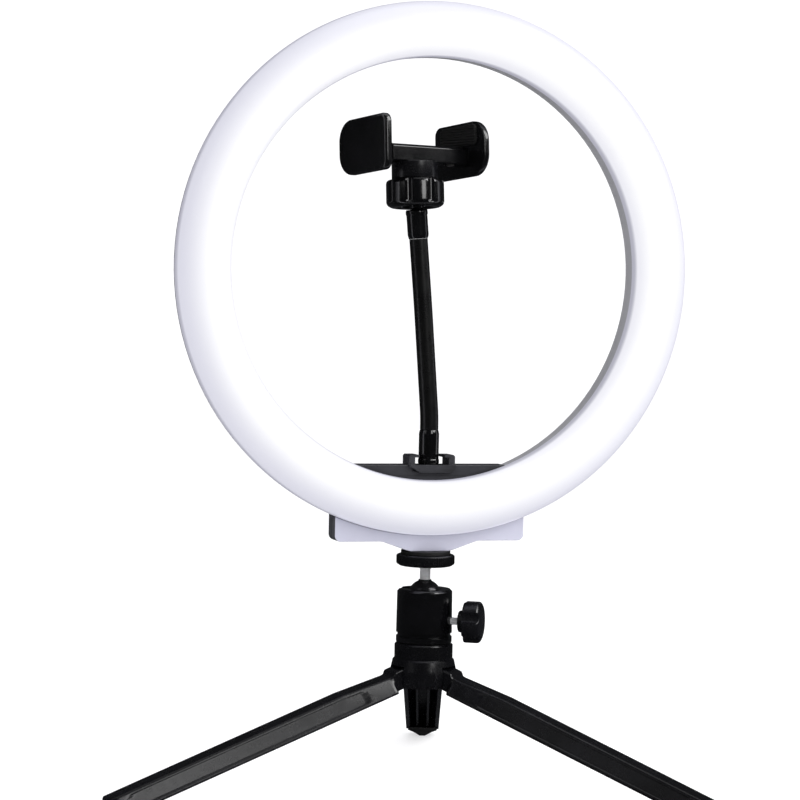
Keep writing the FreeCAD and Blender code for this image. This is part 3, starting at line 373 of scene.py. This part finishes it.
# ---------------------------------------------------------------- ball head
# A turned black housing holds a glossy ball on a nylon seat. The ball's steel stud carries a
# knurled lock wheel with a rubber pad. A star knob's screw pushes a brass tip at the ball.
def softened(corners, radius, steps=5):
    """Outline with each corner replaced by a curve: for corner P and points A and B at most
    radius away on its sides, (1-t)^2 A + 2t(1-t) P + t^2 B."""
    corners = np.asarray(corners, float)
    before, after = np.roll(corners, 1, 0) - corners, np.roll(corners, -1, 0) - corners
    reach = [np.minimum(radius, 0.45 * np.linalg.norm(d, axis=1))[:, None] * d
             / np.linalg.norm(d, axis=1)[:, None] for d in (before, after)]
    t = np.linspace(0, 1, steps)[None, :, None]
    curve = ((1 - t) ** 2 * (corners + reach[0])[:, None] + 2 * t * (1 - t) * corners[:, None]
             + t ** 2 * (corners + reach[1])[:, None])
    return curve.reshape(-1, 2)


def spun(name, profile, base, axis, first=None, turns=96, reach=None, ring=True, crease=38):
    """Surface of revolution: base + r cos(a) u + r sin(a) v + h w for profile points (r, h) and
    axis w. reach(a, r, h) may give another radius. ring=True joins a closed profile."""
    w = unit(axis)
    aside = np.asarray(first if first is not None else [1, 0, 0] if abs(w[0]) < 0.9 else [0, 1, 0])
    u = unit(aside - w * (aside @ w))
    v = np.cross(w, u)
    a = np.linspace(0, 2 * math.pi, turns, endpoint=False)[None, :]
    r, h = np.asarray(profile, float)[:, 0:1], np.asarray(profile, float)[:, 1:2]
    radius = r + 0 * a if reach is None else reach(a, r, h)
    points = (np.asarray(base, float) + (radius * np.cos(a))[..., None] * u
              + (radius * np.sin(a))[..., None] * v + (h + 0 * a)[..., None] * w)
    return piled(name, points, ring, crease)


def notched(a, r, count, centre, notch, ease):
    """Radius r cut by count round grooves: along each ray, the near side of a circle of radius
    notch at distance centre, c cos(p) - sqrt(n^2 - c^2 sin^2(p)), joined by a soft minimum."""
    step = 2 * math.pi / count
    p = np.mod(a + step / 2, step) - step / 2
    inside = notch ** 2 - (centre * np.sin(p)) ** 2
    near = np.where(inside > 0, centre * np.cos(p) - np.sqrt(np.clip(inside, 0, None)), 10 * r + 1)
    mix = np.clip(0.5 + 0.5 * (near - r) / ease, 0, 1)
    return near * (1 - mix) + r * mix - ease * mix * (1 - mix)


def threaded(name, base, axis, radius, length, pitch, depth, turns=40):
    """Screw thread: radius falls by depth times a triangle wave of h / pitch - a / 2 pi, and the
    wave fades out at both ends."""
    h = np.linspace(0, length, int(length / pitch * 12))
    profile = np.stack([np.full_like(h, radius), h], 1)

    def reach(a, r, h):
        wave = np.abs(np.mod(h / pitch - a / (2 * math.pi), 1) * 2 - 1)
        fade = smooth(h, 0, pitch) * (1 - smooth(h, length - pitch, length))
        return r - depth * wave * fade - 0.25 * MM * (1 - smooth(h, 0, 0.4 * MM)) \
            - 0.25 * MM * smooth(h, length - 0.4 * MM, length)

    return spun(name, profile, base, axis, None, turns, reach, ring=False, crease=50)


Z = np.array([0, 0, 1.0])
BALL_CENTRE = np.array(joints["ball_pan"]["pos_m"])
BALL_RADIUS, STUD_RADIUS = 8.5 * MM, 3.1 * MM
WHEEL_LOW, WHEEL_TOP, WHEEL_RADIUS = 112.3 * MM, 118 * MM, 14.4 * MM
STUD_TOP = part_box("stud")[1].z
gloss_black = moulded("housing_gloss", (0.001, 0.001, 0.0012), (0.002, 0.002, 0.0025), 0.16,
                      Coat_Weight=0.5, Coat_Roughness=0.06)
nylon = moulded("seat_nylon", (0.62, 0.60, 0.55), (0.72, 0.70, 0.66), 0.45)
brass = steel_like("tip_brass", (0.55, 0.36, 0.12), (0.75, 0.53, 0.22), 0.28)
zinc = steel_like("ball_chrome", (0.01, 0.01, 0.011), (0.02, 0.02, 0.022), 0.14)

dress(eased("housing_turned", "ball_housing", 0.3 * MM), gloss_black, "stand",
      ["ball_housing"])
carried("ball_seat", nylon)
carried("clamp_tip", brass)

low_turn = np.linspace(-1.52, 1.17, 60)
ball_profile = BALL_RADIUS * np.stack([np.cos(low_turn), np.sin(low_turn)], 1)
neck = np.array([[3.3, 7.95], [3.25, 8.3], [3.0, 8.5]]) * MM
ball = spun("ball_polished", np.concatenate([ball_profile, neck]), BALL_CENTRE, Z, ring=False)
dress(ball, zinc, "ball", ["ball"])
undercut = np.array([(0.02, 104), (2.5, 104), (2.6, 104.2), (2.6, 111), (0.02, 111)]) * MM
dress(spun("stud_undercut", undercut, (0, 0, 0), Z, ring=False), steel, "ball")
collar = threaded("stud_thread", (0, 0, 110.8 * MM), Z, STUD_RADIUS - 0.03 * MM,
                  STUD_TOP - 110.8 * MM, 1.27 * MM, 0.5 * MM)
dress(collar, steel, "ball", ["stud"])

KNOB_AXIS = unit(joints["clamp_turn"]["axis"])
KNOB_BASE = np.array([0, 0, joints["clamp_turn"]["pos_m"][2]])
KNOB_RADIUS = 10.3 * MM
shank = threaded("clamp_thread", KNOB_BASE + 9.3 * MM * KNOB_AXIS, KNOB_AXIS, 1.93 * MM,
                 13 * MM, 0.7 * MM, 0.3 * MM)
dress(shank, steel, "clamp_knob", ["clamp_screw"])
knob_corners = np.array([(1.2, 17.4), (5.4, 17.4), (5.4, 20.3), (10.3, 20.3), (10.3, 27.9),
                         (8.3, 29.1), (4.5, 29.5), (1.2, 29.6)]) * MM
knob_profile = softened(knob_corners, 1.1 * MM, 7)[5:-4]
knob = spun("star_knob", knob_profile, KNOB_BASE, KNOB_AXIS, Z, 240,
            lambda a, r, h: np.where(r > 6 * MM, notched(a, r, 5, 11.2 * MM, 3.1 * MM, 0.5 * MM)
                                     , r), ring=False)
dress(knob, nylon_black, "clamp_knob", ["clamp_knob"])

wheel_corners = np.array([(3.2, WHEEL_LOW / MM), (12.6, WHEEL_LOW / MM),
                          (14.4, WHEEL_LOW / MM + 1.2), (14.4, WHEEL_TOP / MM - 0.6),
                          (13.6, WHEEL_TOP / MM), (3.2, WHEEL_TOP / MM)]) * MM
wheel = spun("lock_wheel_knurled", softened(wheel_corners, 0.5 * MM), (0, 0, 0), Z, None, 864,
             lambda a, r, h: notched(a, r, 72, 14.58 * MM, 0.45 * MM, 0.1 * MM))
dress(wheel, nylon_black, "lock_wheel", ["lock_wheel"])
pad_corners = np.array([(3.3, 118.0), (12.2, 118.0), (12.2, 119.95), (3.3, 119.95)]) * MM
dress(spun("wheel_pad_rubber", softened(pad_corners, 0.3 * MM), (0, 0, 0), Z), grip_rubber,
      "lock_wheel", ["wheel_pad"])


# ---------------------------------------------------------------- ring head, shell and base
# The rear shell is a grey moulding with the rear half of the base block on it. A pale cover
# closes the block's front. Five screws hold the LED board, and a brass insert takes the stud.
RING_CENTRE = np.array([0, -7, 258.0]) * MM
shell_grey = moulded("shoe_plastic", (0.012, 0.012, 0.014), (0.022, 0.022, 0.026), 0.36, 0.5 * MM)


def two_colours_by_place(name, dark, pale, share):
    """Grained plastic in two colours, by a share that is a function of the place: the cover's pale front
    skin, and painted light on the shell's hole wall.
    """
    finish = Finish(name, IOR=1.5)
    cloud, smear, fine = finish.noise(26 * MM, 3), finish.noise(8 * MM, 5, 0.65), finish.noise(0.5 * MM, 2)
    first = cloud.between(0.3, 0.75).blend((*[0.85 * k for k in dark], 1), (*dark, 1))
    second = cloud.between(0.3, 0.75).blend((*[0.93 * k for k in pale], 1), (*pale, 1))
    finish.feed(Base_Color=share(*finish.axes()).blend(first, second),
                Roughness=0.38 + (smear - 0.5) * 0.2 + (fine - 0.5) * 0.08)
    finish.bump(fine, 0.012 * MM)
    return finish.material


def painted_light_on_hole_wall(x, y, z):
    """1 on the wall of the hole, where a paler grey is painted as reflected light, 0 on the rest of the
    shell.
    """
    far = (x * x + (z - float(RING_CENTRE[2])) ** 2.0) ** 0.5
    return 1.0 - far.between(103.9 * MM, 104.6 * MM)


# Painted light: the shell is one dark plastic, given a paler grey on the hole's wall where it catches
# reflected light.
shell_finish = two_colours_by_place("shell_plastic", (0.05, 0.05, 0.057), (0.30, 0.30, 0.32), painted_light_on_hole_wall)
cover_white = two_colours_by_place("cover_plastic", (0.06, 0.06, 0.068), (0.50, 0.50, 0.60),
                       lambda x, y, z: (y * -1.0).between(6.5 * MM, 6.9 * MM))
board = moulded("board_mask", (0.72, 0.73, 0.72), (0.8, 0.81, 0.8), 0.4, 0.9 * MM)
led_body = moulded("led_lens", (0.85, 0.72, 0.25), (0.95, 0.85, 0.4), 0.3, 0.3 * MM,
                   Coat_Weight=0.4)
black_steel = steel_like("screw_black", (0.03, 0.03, 0.03), (0.07, 0.07, 0.07), 0.35)

dress(eased("shell_moulding", "rear_shell", 0.35 * MM), shell_finish, "ring_head",
      ["rear_shell"])
dress(eased("base_front", "base_cover", 0.5 * MM), cover_white, "ring_head",
      ["base_cover"])
carried("led_board", board)
carried("driver_board", board)
carried("leds", led_body)
carried("shell_screws", black_steel)
carried("thread_insert", brass)
dress(eased("gland_rubber", "cable_gland", 0.2 * MM), grip_rubber, "ring_head",
      ["cable_gland"])


# ---------------------------------------------------------------- diffuser
# One moulded half tube of opal plastic all round the ring, snapped over the shell's edge. It is lit
# from behind; painted shade dims its emission colour, cooler and lavender towards its edges, grey on its
# rims.
TUBE_CENTRE, TUBE_RADIUS, TUBE_STRAIGHT, OPAL_WALL = 116.5 * MM, 13.5 * MM, 1.5 * MM, 1.5 * MM
# The middle colour is the lamp's own; the outer, inner and rim colours are painted shade, lavender towards
# the tube's edges and grey on its rims.
GLOW_MIDDLE, PAINTED_SHADE_OUTER, PAINTED_SHADE_INNER = (1.0, 1.0, 1.0), (0.62, 0.62, 0.72), (0.84, 0.84, 0.9)
PAINTED_SHADE_RIM = (0.30, 0.30, 0.38)


def half_tube(radius, steps):
    """Half circle of that radius across the tube, from outside to inside, on its straight."""
    a = np.linspace(0, math.pi, steps)
    arc = np.stack([TUBE_CENTRE + radius * np.cos(a), TUBE_STRAIGHT + radius * np.sin(a)], 1)
    return np.concatenate([[[TUBE_CENTRE + radius, 0]], arc, [[TUBE_CENTRE - radius, 0]]])


tube = np.concatenate([half_tube(TUBE_RADIUS, 41), half_tube(TUBE_RADIUS - OPAL_WALL, 33)[::-1]])
opal = Finish("opal_diffuser", Roughness=0.3, IOR=1.49, Emission_Strength=0.7)
x, y, z = opal.axes()
offset = (x * x + (z - float(RING_CENTRE[2])) ** 2.0) ** 0.5 - TUBE_CENTRE
cloud = opal.noise(30 * MM, 3)
# Painted shade in the emission colour: lavender towards the outer edge, paler lavender towards the inner
# edge, grey on both rims.
glow_with_painted_shade = (offset.between(-4 * MM, 13 * MM) * (0.9 + cloud * 0.2)).blend((*GLOW_MIDDLE, 1), (*PAINTED_SHADE_OUTER, 1))
glow_with_painted_shade = (offset * -1.0).between(8 * MM, 13 * MM).blend(glow_with_painted_shade, (*PAINTED_SHADE_INNER, 1))
glow_with_painted_shade = opal.pen.math("ABSOLUTE", offset).between(12.7 * MM, TUBE_RADIUS).blend(glow_with_painted_shade, (*PAINTED_SHADE_RIM, 1))
opal.feed(Emission_Color=glow_with_painted_shade, Roughness=0.26 + cloud * 0.12,
          Base_Color=cloud.blend((0.22, 0.22, 0.24, 1), (0.26, 0.26, 0.27, 1)))
opal.bump(opal.noise(1.5 * MM, 3), 0.008 * MM)
dress(spun("diffuser_tube", tube, RING_CENTRE, (0, -1, 0), (0, 0, 1), 288), opal.material,
      "ring_head", ["diffuser"])


# ---------------------------------------------------------------- shoe
# A black plate closes the bottom of the hole. The bracket stands on it with two rails that
# take the arm's foot, and is open from front to back.
dress(eased("shoe_floor", "shoe_plate", 0.4 * MM), shell_grey, "ring_head",
      ["shoe_plate"])
dress(eased("shoe_rails", "shoe_bracket", 0.3 * MM), shell_grey, "ring_head",
      ["shoe_bracket"])


# ---------------------------------------------------------------- phone arm
# A foot slides in the shoe. A turned ferrule on it and another under the clip hold the ends of
# a bendable steel core in a smooth black sleeve.
LOW_KNEE = np.array(joints["arm_bend_low"]["pos_m"])
HIGH_KNEE = np.array(joints["arm_bend_high"]["pos_m"])
CLIP_BALL = np.array(joints["clip_turn"]["pos_m"])
UPPER = unit(CLIP_BALL - HIGH_KNEE)
SLEEVE_RADIUS, FERRULE_LENGTH, FERRULE_END = 4.5 * MM, 14.15 * MM, 49.24 * MM
sleeve_black = moulded("sleeve_satin", (0.0015, 0.0015, 0.0015), (0.003, 0.003, 0.003), 0.3,
                      0.25 * MM)

dress(eased("arm_foot_moulding", "arm_foot", 0.35 * MM), nylon_black,
      "arm_lower", ["arm_foot"])
low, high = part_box("lower_ferrule")
ferrule_base = np.array([LOW_KNEE[0], LOW_KNEE[1], low.z])
ferrule_tall = high.z - low.z


def ferrule(radius, tall):
    """Outline of a ferrule: a tube with a turned bead at its foot and a chamfered mouth."""
    corners = np.array([(2.2 * MM, 0), (radius - 0.3 * MM, 0), (radius, 0.8 * MM),
                        (radius, 2.2 * MM), (radius - 0.25 * MM, 2.6 * MM),
                        (radius - 0.25 * MM, tall - 1.8 * MM), (radius - 0.7 * MM, tall),
                        (2.2 * MM, tall)])
    return softened(corners, 0.35 * MM)


dress(spun("lower_ferrule_turned", ferrule(5.2 * MM, ferrule_tall), ferrule_base, Z),
      gloss_black, "arm_lower", ["lower_ferrule"])
dress(spun("upper_ferrule_turned", ferrule(5.4 * MM, FERRULE_LENGTH),
           HIGH_KNEE + FERRULE_END * UPPER, -UPPER),
      gloss_black, "arm_upper", ["upper_ferrule"])

SLEEVE_START = np.array([LOW_KNEE[0], LOW_KNEE[1], high.z + 0.1 * MM])
SLEEVE_END = HIGH_KNEE + (FERRULE_END - FERRULE_LENGTH - 0.05 * MM) * UPPER


def ramp(z, low, high):
    """Integral of the smoothstep from low to high: width (t^3 - t^4 / 2), then a straight rise."""
    t = np.clip((z - low) / (high - low), 0, 1)
    return (high - low) * (t ** 3 - t ** 4 / 2) + np.maximum(z - high, 0)


def sleeve(name, first, last):
    """Tube of one radius whose centreline rises from the lower ferrule and leans a little more
    round each knee: x is the sum of the two changes of slope times their ramps."""
    z = SLEEVE_START[2] + (SLEEVE_END[2] - SLEEVE_START[2]) * np.linspace(first, last, 60)
    leans = (HIGH_KNEE - LOW_KNEE)[0] / (HIGH_KNEE - LOW_KNEE)[2], UPPER[0] / UPPER[2]
    x = (LOW_KNEE[0] + leans[0] * ramp(z, LOW_KNEE[2] - 6 * MM, LOW_KNEE[2] + 6 * MM)
         + (leans[1] - leans[0]) * ramp(z, HIGH_KNEE[2] - 14 * MM, HIGH_KNEE[2] + 14 * MM))
    line = np.stack([x, np.full_like(z, LOW_KNEE[1]), z], 1)
    heading = np.gradient(line, axis=0)
    heading /= np.linalg.norm(heading, axis=1)[:, None]
    aside = np.cross([0, 1.0, 0], heading)
    a = np.linspace(0, 2 * math.pi, 64, endpoint=False)[None, :, None]
    loops = line[:, None] + SLEEVE_RADIUS * (np.cos(a) * aside[:, None] + np.sin(a) * np.array([0, 1.0, 0]))
    return piled(name, loops)


SPLIT = 0.4
lower = sleeve("sleeve_lower", 0.0, SPLIT)
upper = sleeve("sleeve_upper", SPLIT, 1.0)
dress(lower, sleeve_black, None, ["gooseneck_lower", "gooseneck_middle"])
dress(upper, sleeve_black, None, ["gooseneck_upper"])
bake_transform(lower)
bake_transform(upper)

REACH = float(np.linalg.norm(CLIP_BALL - HIGH_KNEE))
around = np.linspace(-1.11, 1.568, 48)
swivel_profile = np.concatenate([
    np.array([(2.05, 42.0), (2.05, 49.3), (3.0, 49.32), (3.3, 49.7)]) * MM,
    np.stack([7.5 * MM * np.cos(around), REACH + 7.5 * MM * np.sin(around)], 1)])
dress(spun("swivel_ball_turned", swivel_profile, HIGH_KNEE, UPPER, ring=False), gloss_black,
      "arm_upper", ["swivel_ball"])


# ---------------------------------------------------------------- clip head
# A socket moulded under the clip's beam holds the ball on a nylon seat. A nut with eight
# finger grooves screws over the socket and squeezes its lip round the ball.
CLIP_X = -unit(joints["jaw_slide"]["axis"])
CLIP_Z = unit(joints["clip_turn"]["axis"])
CLIP_Y = np.cross(CLIP_Z, CLIP_X)
turn = np.radians([89.9, 80, 70, 60, 50, 40, 30, 20, 10, 0, -7, -14])
cavity = 9.45 * np.stack([np.cos(turn), np.sin(turn)], 1)
socket_profile = np.concatenate([
    cavity, [(7.65, -2.45), (6.7, -4.4), (7.4, -6.6), (10.5, -6.6), (10.6, -6.4), (10.6, 4.0),
             (11.2, 4.3), (11.3, 4.5), (11.3, 12.2), (11.1, 12.45), (0.02, 12.45)]]) * MM
nut_corners = np.array([(8.9, -9.6), (11.8, -9.6), (13.5, -8.6), (14.2, -7.4), (14.2, 2.5),
                        (13.4, 3.8), (10.95, 3.8), (10.95, -7.2), (8.4, -7.2)]) * MM


def nut_reach(a, r, h):
    """Eight finger grooves that run out above the nut's lower rim."""
    cut = notched(a, r, 8, 14.9 * MM, 2.1 * MM, 0.5 * MM)
    deep = smooth(h, -8.3 * MM, -7.0 * MM) * (r > 12 * MM)
    return r + (cut - r) * deep


carried("swivel_seat", nylon)
dress(spun("socket_moulding", socket_profile, CLIP_BALL, CLIP_Z, CLIP_X, ring=False), nylon_black,
      "clip", ["clip_socket"])
nut = spun("swivel_nut_grooved", softened(nut_corners, 0.8 * MM, 6), CLIP_BALL, CLIP_Z, CLIP_X,
           320, nut_reach)
dress(nut, gloss_black, "swivel_nut", ["swivel_nut"])


# ---------------------------------------------------------------- clip beam, jaws and spring
# The beam is a black box section. One jaw is fixed to its end. The other rides on a flat
# slider that a steel spring inside pulls back. Each jaw has a ribbed rubber pad.
def outline_loops(width, height, corners, insets):
    """Rounded rectangle: points of a circle of the corner's radius, each quarter pushed out to
    its corner. corners are the radii at the +Y and the -Y end; insets shrink size and radius
    together, one loop for each."""
    a = (np.arange(64) + 0.5) / 64 * 2 * math.pi
    inset = np.asarray(insets, float)[:, None]
    round_off = np.maximum(np.where(np.cos(a) > 0, *corners) - inset, 0.3 * MM)
    across = np.sign(np.cos(a)) * (width / 2 - inset - round_off) + round_off * np.cos(a)
    up = np.sign(np.sin(a)) * (height / 2 - inset - round_off) + round_off * np.sin(a)
    return across, up


def paddle(name, near, far, width, low, high, corners, stations):
    """Rounded slab in the clip's frame. stations hold (share of the way from near to far,
    inset of the outline), so that they draw the slab's edge in section."""
    share, insets = np.array(stations).T
    across, up = outline_loops(width, high - low, corners, insets)
    place = (near + (far - near) * share)[:, None, None]
    loops = (CLIP_BALL + place * CLIP_X + across[..., None] * CLIP_Y
             + (up + (low + high) / 2)[..., None] * CLIP_Z)
    return piled(name, loops, crease=50)


JAW_NEAR, JAW_FAR, JAW_WIDTH, JAW_LOW, JAW_HIGH = np.array([27.05, 30.6, 42, 6, 33]) * MM
BIG_CORNER, SMALL_CORNER, PAD_CORNER = 10.5 * MM, 4.5 * MM, 2.6 * MM
JAW_STATIONS = [(0.0, 4 * MM), (0.0, 0.5 * MM), (0.03, 0.15 * MM), (0.1, 0), (0.62, 0),
                (0.78, 0.12 * MM), (0.9, 0.4 * MM), (0.97, 0.8 * MM), (1.0, 1.3 * MM),
                (1.0, 2.0 * MM), (0.985, 2.3 * MM), (0.93, 2.7 * MM), (0.91, 3.1 * MM),
                (0.91, 5 * MM)]
PAD_STATIONS = [(0.0, 1.5 * MM), (0.0, 0), (0.75, 0), (0.92, 0.12 * MM), (1.0, 0.4 * MM),
                (1.0, 1.5 * MM)]
jaw_black = moulded("jaw_plastic", (0.001, 0.001, 0.0012), (0.0025, 0.0025, 0.003), 0.2, 0.4 * MM,
                    Coat_Weight=0.3, Coat_Roughness=0.1)
ribbed = Finish("pad_rubber", Roughness=0.8)
x, y, z = ribbed.axes()
ribs = ribbed.pen.math("SINE", z * (2 * math.pi / (1.3 * MM)))
dust = ribbed.noise(6 * MM, 4)
ribbed.feed(Base_Color=dust.blend((0.002, 0.002, 0.002, 1), (0.006, 0.006, 0.006, 1)),
            Roughness=0.7 + dust * 0.2)
ribbed.bump(ribs + dust * 0.3, 0.12 * MM)

dress(eased("beam_moulding", "clip_body", 0.5 * MM), jaw_black, "clip",
      ["clip_body"])
dress(eased("hatch", "clip_cover", 0.2 * MM), nylon_black, "clip", ["clip_cover"])
carried("cover_screw", black_steel)
dress(eased("slider_bar", "clip_slider", 0.3 * MM), nylon_black, "moving_jaw",
      ["clip_slider"])
for name, body, sign, corners in (("fixed_jaw", "clip", 1, (SMALL_CORNER, BIG_CORNER)),
                                  ("moving_jaw", "moving_jaw", -1, (BIG_CORNER, SMALL_CORNER))):
    jaw = paddle(f"{name}_paddle", sign * JAW_NEAR, sign * JAW_FAR, JAW_WIDTH, JAW_LOW, JAW_HIGH,
                 corners, JAW_STATIONS)
    dress(jaw, jaw_black, body, [name])
    pad = paddle(f"{name}_ribs", sign * (JAW_NEAR - 0.05 * MM), sign * (JAW_NEAR - 1.45 * MM),
                 30 * MM, 21.1 * MM, 31.6 * MM, (PAD_CORNER, PAD_CORNER), PAD_STATIONS)
    dress(pad, ribbed.material, body, [f"{name}_pad"])

SPRING_TURNS, SPRING_RADIUS, WIRE = 7, 1.55 * MM, 0.3 * MM
low, high = (np.array(corner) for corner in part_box("clip_spring"))
t = np.linspace(0, 1, SPRING_TURNS * 28)[:, None]
angle = t * SPRING_TURNS * 2 * math.pi
outward = np.cos(angle) * CLIP_Y + np.sin(angle) * CLIP_Z
line = (low + high) / 2 + (t - 0.5) * 5.6 * MM * CLIP_X + SPRING_RADIUS * outward
a = np.linspace(0, 2 * math.pi, 10, endpoint=False)[None, :, None]
coil = line[:, None] + WIRE * (np.cos(a) * outward[:, None] + np.sin(a) * CLIP_X)
dress(piled("return_spring", coil), steel, "clip", ["clip_spring"])


# ---------------------------------------------------------------- floor, light and camera
# Pale paper goes from the floor up into a wall all round. A wide soft light hangs to the
# right, a strip beside the camera, weaker ones left and above. Gloss shows the lights only.
a = np.linspace(0, math.pi / 2, 16)
cove = np.concatenate([[(0.01, 0.0)], np.stack([3.5 + 1.5 * np.sin(a), 1.5 - 1.5 * np.cos(a)], 1),
                       [(5.0, 6.0), (0.01, 6.0)]])
sweep = spun("paper_sweep", cove, (0, 0, 0), Z, ring=False)
sweep.visible_glossy = False
paper = Finish("paper", Roughness=0.9, Emission_Strength=0.6)
fibre = paper.noise(4 * MM, 4)
paper.feed(Base_Color=fibre.blend((0.44, 0.44, 0.44, 1), (0.47, 0.47, 0.47, 1)),
           Emission_Color=fibre.blend((0.98, 0.98, 1.0, 1), (1.0, 1.0, 1.0, 1)))
sweep.data.materials.append(paper.material)


def soft_light(name, place, aim, width, height, power):
    """Rectangular light at a place, facing the point it is aimed at."""
    lamp = bpy.data.lights.new(name, "AREA")
    lamp.shape, lamp.size, lamp.size_y, lamp.energy = "RECTANGLE", width, height, power
    lit = bpy.data.objects.new(name, lamp)
    lit.location = place
    lit.rotation_euler = (Vector(aim) - Vector(place)).to_track_quat("-Z", "Y").to_euler()
    bpy.context.scene.collection.objects.link(lit)


soft_light("key", (0.85, -0.5, 1.05), (0, 0, 0.1), 0.9, 0.9, 16)
soft_light("strip", (0.42, -1.3, 0.8), (0, 0, 0.1), 0.4, 0.7, 4)
soft_light("fill", (-1.3, -0.6, 0.9), (0, 0, 0.2), 0.6, 0.8, 0.8)
soft_light("top", (0.1, 0.1, 1.7), (0, 0, 0.2), 0.8, 0.8, 2)
world = bpy.data.worlds.new("room")
world.use_nodes = True
world.node_tree.nodes["Background"].inputs["Color"].default_value = (0.9, 0.93, 1.0, 1)
world.node_tree.nodes["Background"].inputs["Strength"].default_value = 0.03
bpy.context.scene.world = world
bpy.context.scene.view_settings.view_transform = "Standard"

AZIMUTH, ELEVATION, DISTANCE = math.radians(-17.886), math.radians(-0.925), 1179.8 * MM
YAW, PITCH, ROLL = -0.0138, -0.0543, math.radians(1.198)
back = np.array([math.sin(AZIMUTH) * math.cos(ELEVATION), -math.cos(AZIMUTH) * math.cos(ELEVATION),
                 math.sin(ELEVATION)])
aside = unit(np.cross(-back, Z))
upward = np.cross(aside, -back)
ahead = -back * math.cos(YAW) + aside * math.sin(YAW)
aside = aside * math.cos(YAW) + back * math.sin(YAW)
ahead, upward = (ahead * math.cos(PITCH) + upward * math.sin(PITCH),
                 upward * math.cos(PITCH) - ahead * math.sin(PITCH))
aside, upward = (aside * math.cos(ROLL) + upward * math.sin(ROLL),
                 upward * math.cos(ROLL) - aside * math.sin(ROLL))
eye = RING_CENTRE + DISTANCE * back
lens = bpy.data.cameras.new("camera")
lens.lens, lens.sensor_width = 108.6, 36
camera = bpy.data.objects.new("camera", lens)
turned = np.eye(4)
turned[:3, 0], turned[:3, 1], turned[:3, 2], turned[:3, 3] = aside, upward, -ahead, eye
camera.matrix_world = Matrix(turned.tolist())
bpy.context.scene.collection.objects.link(camera)
bpy.context.scene.camera = camera
